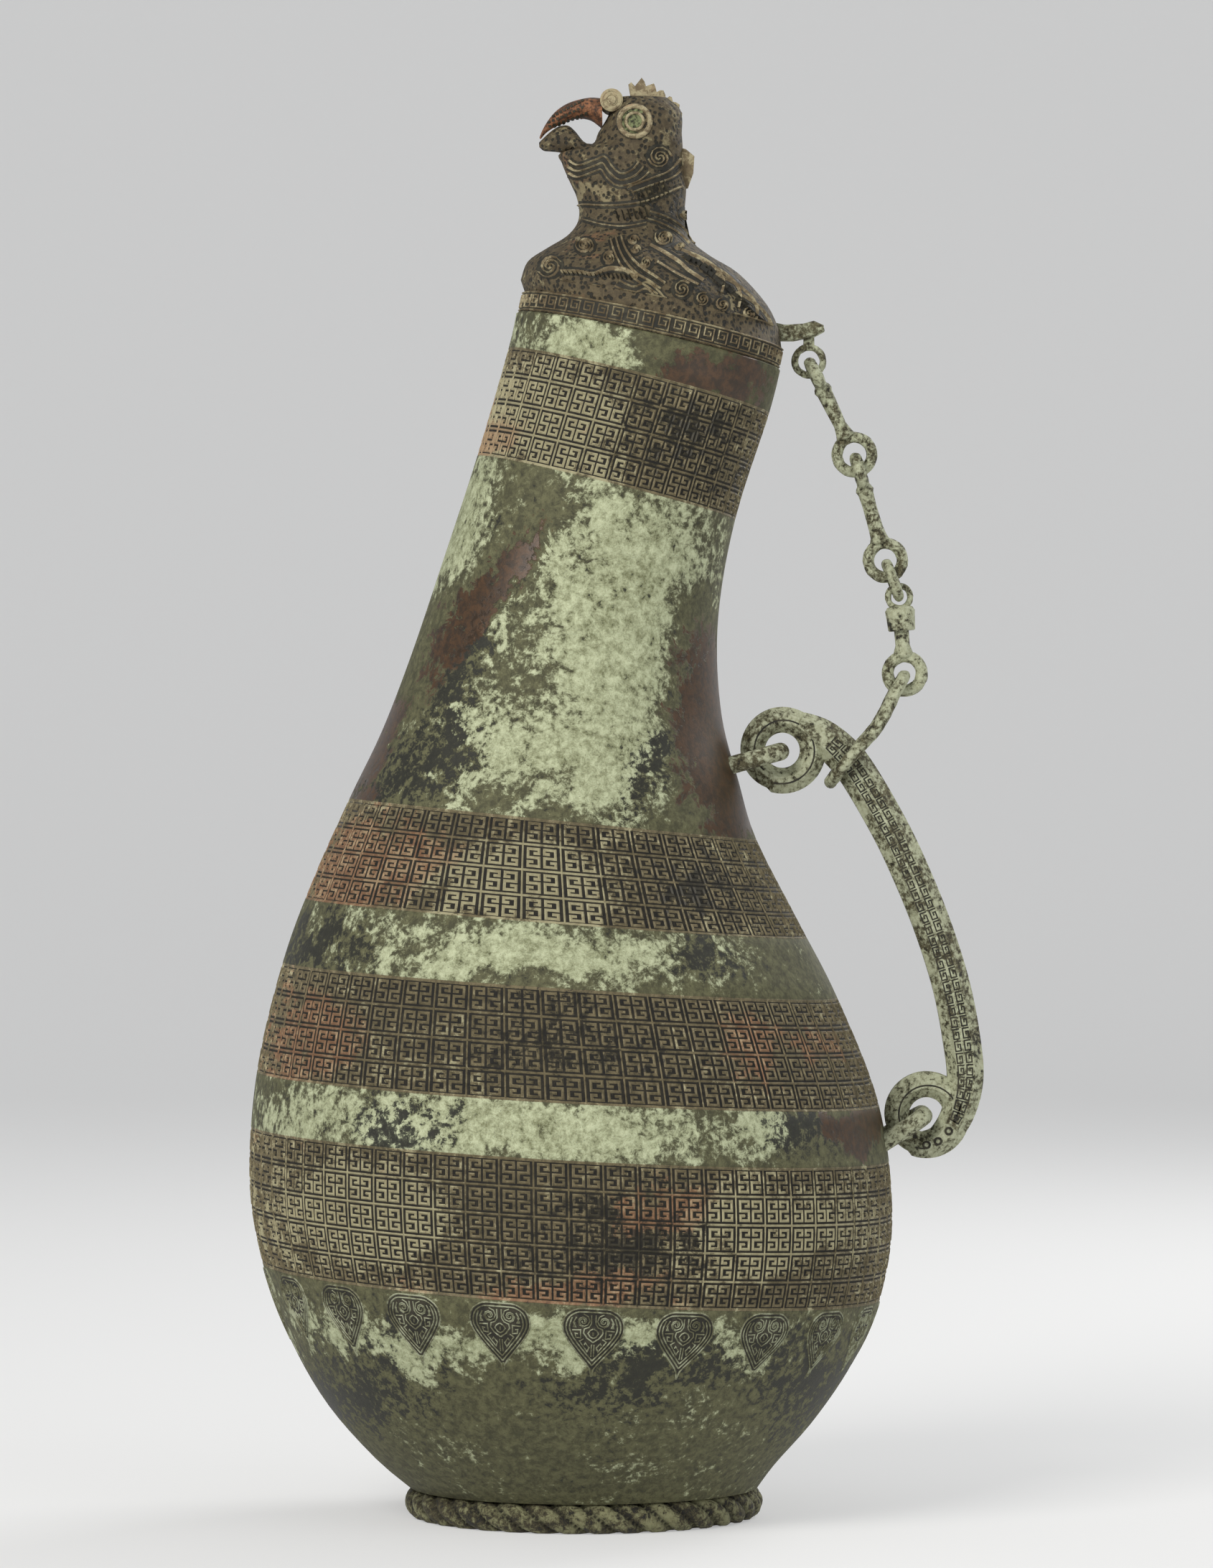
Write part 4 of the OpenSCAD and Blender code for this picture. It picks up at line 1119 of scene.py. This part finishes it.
class HU_OT_handle(Operator):
    """Build the loose handle with its scrolls"""
    bl_idname = "hu.handle"
    bl_label = "Scroll handle"

    def execute(self, context):
        bm = bmesh.new()
        path = catmull(STEM, np.linspace(0, len(STEM) - 1, 61))
        rings = []
        for i, (x, z, w) in enumerate(path):
            ahead = path[min(i + 1, len(path) - 1)][:2] - path[max(i - 1, 0)][:2]
            ahead /= np.linalg.norm(ahead)
            rings.append([(x + s * ahead[1], y, z - s * ahead[0]) for s, y in section(w, HANDLE_T)])
        sweep(bm, rings)
        for cx, cz, start in SCROLLS:
            rings = []
            for k, a in enumerate(math.radians(start) + around(48)):
                wide = (SCROLL_OUT - SCROLL_EYE) * (1 - 0.12 * max(0, (k - 28) / 20))
                r = SCROLL_EYE + wide / 2
                rings.append([(cx + (r + s) * math.cos(a), y, cz + (r + s) * math.sin(a))
                              for s, y in section(wide, HANDLE_T - 1)])
            sweep(bm, rings, closed=True)
        finish_piece("handle_bar", bm, "handle", "crust_patina", "handle", angle=25)
        bm = bmesh.new()
        steps = np.linalg.norm(np.diff(path[:, :2], axis=0), axis=1)
        length = np.concatenate([[0], np.cumsum(steps)])
        for edge in (-1, 1):
            for side in (-1, 1):
                def place(along, across, lift):
                    x, z, w = (np.interp(along, length, path[:, c]) for c in range(3))
                    near = np.interp(along + 0.5, length, path[:, 0]) - x
                    rise = np.interp(along + 0.5, length, path[:, 1]) - z
                    size = np.hypot(near, rise)
                    u = edge * (w / 2 - CHAMFER - CURL_INSET) + across
                    y = HANDLE_T / 2 + np.asarray(lift)
                    return np.stack([x + u * rise / size, side * y, z - u * near / size], 1)
                for k in range(3, int(length[-1] / CURL_PITCH) - 3):
                    ridge(bm, place, np.array(HANDLE_CURL) + (k * CURL_PITCH, 0), 0.42, 0.05,
                          ROOTED, top=0.9)
        for cx, cz, start in SCROLLS:
            for side in (-1, 1):
                def place(x, z, lift):
                    return np.stack([x, side * ((HANDLE_T - 1) / 2 + np.asarray(lift)), z], 1)
                line = spiral(cx, cz, SCROLL_OUT - LINE_INSET, SCROLL_EYE + LINE_INSET, start,
                              0.92, 40)
                ridge(bm, place, line, 0.5, 0.05, ROOTED, top=0.9)
        for k in STUDS:
            for side in (-1, 1):
                tube(bm, disc(path[k], 0.9, side * HANDLE_T / 2, 20), 0.35, 6, closed=True)
        finish_piece("handle_inlay", bm, "handle", "inlay_and_shade", smooth=False)
        return {"FINISHED"}


def hung(at, swing):
    """Turns places that hang down from a point into the row frame."""
    c, s = math.cos(math.radians(swing)), math.sin(math.radians(swing))

    def place(points):
        p = np.asarray(points, float)
        return np.stack([at[0] + p[:, 0] * c - p[:, 2] * s, p[:, 1],
                         at[1] + p[:, 0] * s + p[:, 2] * c], 1)
    return place


def ring_link(bm, place, drop, r, bar, flat=True):
    """A round eye that faces the front or the side."""
    ring = disc((0, -drop), r, 0, 48)
    tube(bm, place(ring if flat else ring[:, [1, 0, 2]]), bar, 16, closed=True)


# The crust's noise: its size (mm), and how rough, how much finer and how many its layers are
CRUST_SIZE, CRUST_NOISE = 2.2, (0.6, 2.0, 3)


def crusted(name, bm, body, node):
    """Finishes a piece that is pitted inwards by noise, so that it looks corroded."""
    depth = sizes()[3]
    bmesh.ops.recalc_face_normals(bm, faces=bm.faces)
    bm.normal_update()
    for v in bm.verts:
        spot = Vector(v.co) / CRUST_SIZE + Vector((len(name), 0, 0))
        v.co -= v.normal * depth * max(0.0, 0.5 + 0.5 * noise.fractal(spot, *CRUST_NOISE))
    finish_piece(name, bm, body, "crust_patina", node, angle=80)


def turned_link(node):
    """A turned bar with its eyes, in the place of a node."""
    name, top, swing, sides, profile, eyes = LINKS[node]
    bm = bmesh.new()
    place = hung(top, swing)
    for drop, r, bar, flat in eyes:
        ring_link(bm, place, drop, r, bar, flat)
    turn = around(sides)
    sweep(bm, [place(np.stack([r * np.cos(turn), r * np.sin(turn), np.full(sides, -drop)], 1))
               for r, drop in profile])
    crusted(name, bm, node, node)


class HU_OT_staples(Operator):
    """Build the two body staples that hold the handle"""
    bl_idname = "hu.staples"
    bl_label = "Handle staples"

    def execute(self, context):
        for name, (root, hold) in STAPLES.items():
            reach = math.dist(root, hold)
            swing = math.degrees(math.atan2(hold[0] - root[0], root[1] - hold[1]))
            place = hung(root, swing)
            leg = STAPLE_BEND - STAPLE_LEG
            path = [(0, -STAPLE_LEG, 0), (0, -STAPLE_LEG, (STAPLE_BEND - reach) / 2)]
            path += [(0, leg - STAPLE_BEND * math.cos(a), STAPLE_BEND * (1 - math.sin(a)) - reach)
                     for a in np.linspace(0, math.pi / 2, 7)]
            path = np.array(path + [(0, leg / 2, -reach)])
            full = np.concatenate([path, [(0, 0, -reach)], path[::-1] * (1, -1, 1)])
            bm = bmesh.new()
            tube(bm, place(full), STAPLE_BAR, 20)
            finish_piece(name + "_staple", bm, "vessel", "crust_patina", name)
        return {"FINISHED"}


class HU_OT_chain(Operator):
    """Build the cover chain: tail eye, two long links, short link, swivel and loop"""
    bl_idname = "hu.chain"
    bl_label = "Cover chain"

    def execute(self, context):
        bm = bmesh.new()
        plate(bm, TAIL_BAR, 6.4, 0.9)
        ring_link(bm, hung((62.7, 321.4), 0), 0, 3.9, 1.1)
        plate(bm, TAIL_NECK, 2.2)
        crusted("tail_eye", bm, "lid", "chain_lug")

        turned_link("link_a")
        turned_link("link_b")

        bm = bmesh.new()
        a = np.linspace(0, math.pi, 17)
        top = np.stack([0 * a, 3.7 * np.cos(a), -0.05 + 3.7 * np.sin(a)], 1)
        low = np.stack([0 * a, -3.7 * np.cos(a), -2.25 - 3.7 * np.sin(a)], 1)
        tube(bm, hung((85.67, 261.46), 20.4)(np.concatenate([top, low])), 1.6, 16, closed=True)
        crusted("short_link", bm, "link_ring", "link_ring")

        turned_link("swivel_barrel")
        turned_link("swivel_eye")

        bm = bmesh.new()
        rows = np.concatenate([LOOP, np.array(LOOP[-2:0:-1]) * (1, -1, 1)])
        wrapped = np.concatenate([rows[-2:], rows, rows[:3]])
        tube(bm, catmull(wrapped, 2 + np.arange(0, len(rows), 0.25)), 1.9, 14, closed=True)
        crusted("handle_loop", bm, "handle_link", "handle_link")
        return {"FINISHED"}


class HU_OT_pin(Operator):
    """Give the beak's pin its patina"""
    bl_idname = "hu.pin"
    bl_label = "Beak pin"

    def execute(self, context):
        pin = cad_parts["beak_pin"]
        pin.data.materials.clear()
        pin.data.materials.append(material("cover_ridge"))
        return {"FINISHED"}


# Lamps: power (W), size (m), place, what each points at and its colour
LAMPS = {
    "key": (26, 0.9, (-0.9, -1.4, 1.2), (0, 0, 0.2), (1, 0.98, 0.95)),
    "fill": (8, 1.4, (1.4, -1.2, 0.6), (0, 0, 0.2), (1, 1, 1)),
    "rim": (12, 0.8, (0.9, 1.0, 1.1), (0, 0, 0.25), (1, 1, 1)),
}
SKY, SKY_STRENGTH = (0.95, 0.97, 1, 1), 0.38
CAMERA_AT, LENS = (0.0063, -1.796, 0.2036), 148
# Half the floor's side, and the radius (m) at which it turns up into the backdrop
FLOOR, COVE = 4, 1.6


class HU_OT_stage(Operator):
    """Build the pale floor and backdrop, the soft lights and the camera"""
    bl_idname = "hu.stage"
    bl_label = "Stage"

    def execute(self, context):
        scene = context.scene
        looks = scene.hu_looks
        bm = bmesh.new()
        bmesh.ops.create_grid(bm, x_segments=1, y_segments=1, size=FLOOR)
        fold = [e for e in bm.edges if all(v.co.y > 0 for v in e.verts)]
        up = bmesh.ops.extrude_edge_only(bm, edges=fold)["geom"]
        bmesh.ops.translate(bm, vec=(0, 0, FLOOR),
                            verts=[g for g in up if isinstance(g, bmesh.types.BMVert)])
        bmesh.ops.bevel(bm, geom=fold, offset=COVE, affect="EDGES", segments=12, profile=0.5,
                        material=-1)
        for face in bm.faces:
            face.smooth = True
        mesh = bpy.data.meshes.new("backdrop")
        bm.to_mesh(mesh)
        bm.free()
        floor = bpy.data.objects.new("backdrop", mesh)
        scene.collection.objects.link(floor)
        paper = bpy.data.materials.new("paper")
        net = Net(paper)
        light = net.node("ShaderNodeLightPath")
        seen = light.most(light.other("Is Glossy Ray")).most(light.other("Is Transmission Ray"))
        matt = net.node("ShaderNodeBsdfDiffuse", {"Color": tuple(looks.floor)})
        glow = net.node("ShaderNodeEmission", {"Color": (1, 1, 1, 1), "Strength": 1.0})
        both = net.node("ShaderNodeMixShader", {0: seen * 0.35, 1: matt, 2: glow})
        net.node("ShaderNodeOutputMaterial", {"Surface": both})
        mesh.materials.append(paper)

        world = bpy.data.worlds.new("studio")
        scene.world = world
        world.use_nodes = True
        sky = world.node_tree.nodes["Background"]
        sky.inputs["Color"].default_value = SKY
        sky.inputs["Strength"].default_value = SKY_STRENGTH

        for name, (power, size, spot, aim, colour) in LAMPS.items():
            data = bpy.data.lights.new(name, "AREA")
            data.energy, data.size, data.color = power, size, colour
            lamp = bpy.data.objects.new(name, data)
            lamp.location = spot
            lamp.rotation_euler = (Vector(aim) - Vector(spot)).to_track_quat("-Z", "Y").to_euler()
            scene.collection.objects.link(lamp)

        data = bpy.data.cameras.new("camera")
        data.sensor_fit, data.sensor_height, data.lens = "VERTICAL", 36, LENS
        data.clip_end = 20
        camera = bpy.data.objects.new("camera", data)
        camera.location = CAMERA_AT
        camera.rotation_euler = (math.pi / 2, 0, 0)
        scene.collection.objects.link(camera)
        scene.camera = camera
        scene.view_settings.view_transform = "Standard"
        return {"FINISHED"}


STEPS = (HU_OT_gourd, HU_OT_bands, HU_OT_fringe, HU_OT_foot, HU_OT_cover, HU_OT_plumes,
         HU_OT_rim, HU_OT_eyes, HU_OT_beak, HU_OT_handle, HU_OT_staples, HU_OT_chain, HU_OT_pin,
         HU_OT_stage)


class HU_PT_panel(Panel):
    """Lists the steps that build the vessel"""
    bl_label = "Bronze hu"
    bl_idname = "HU_PT_panel"
    bl_space_type = "VIEW_3D"
    bl_region_type = "UI"
    bl_category = "Bronze hu"

    def draw(self, context):
        for group in (context.scene.hu_sizes, context.scene.hu_looks):
            for name in group.__annotations__:
                self.layout.prop(group, name)
        for step in STEPS:
            self.layout.operator(step.bl_idname)


CLASSES = (HuSizes, HuLooks) + STEPS + (HU_PT_panel,)


def register():
    """Adds the classes and the two groups of settings."""
    for cls in CLASSES:
        bpy.utils.register_class(cls)
    bpy.types.Scene.hu_sizes = PointerProperty(type=HuSizes)
    bpy.types.Scene.hu_looks = PointerProperty(type=HuLooks)


def unregister():
    """Takes them away again."""
    del bpy.types.Scene.hu_looks
    del bpy.types.Scene.hu_sizes
    for cls in reversed(CLASSES):
        bpy.utils.unregister_class(cls)


def main():
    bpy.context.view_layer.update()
    register()
    for step in STEPS:
        group, name = step.bl_idname.split(".")
        getattr(getattr(bpy.ops, group), name)()


if __name__ == "__main__":
    main()
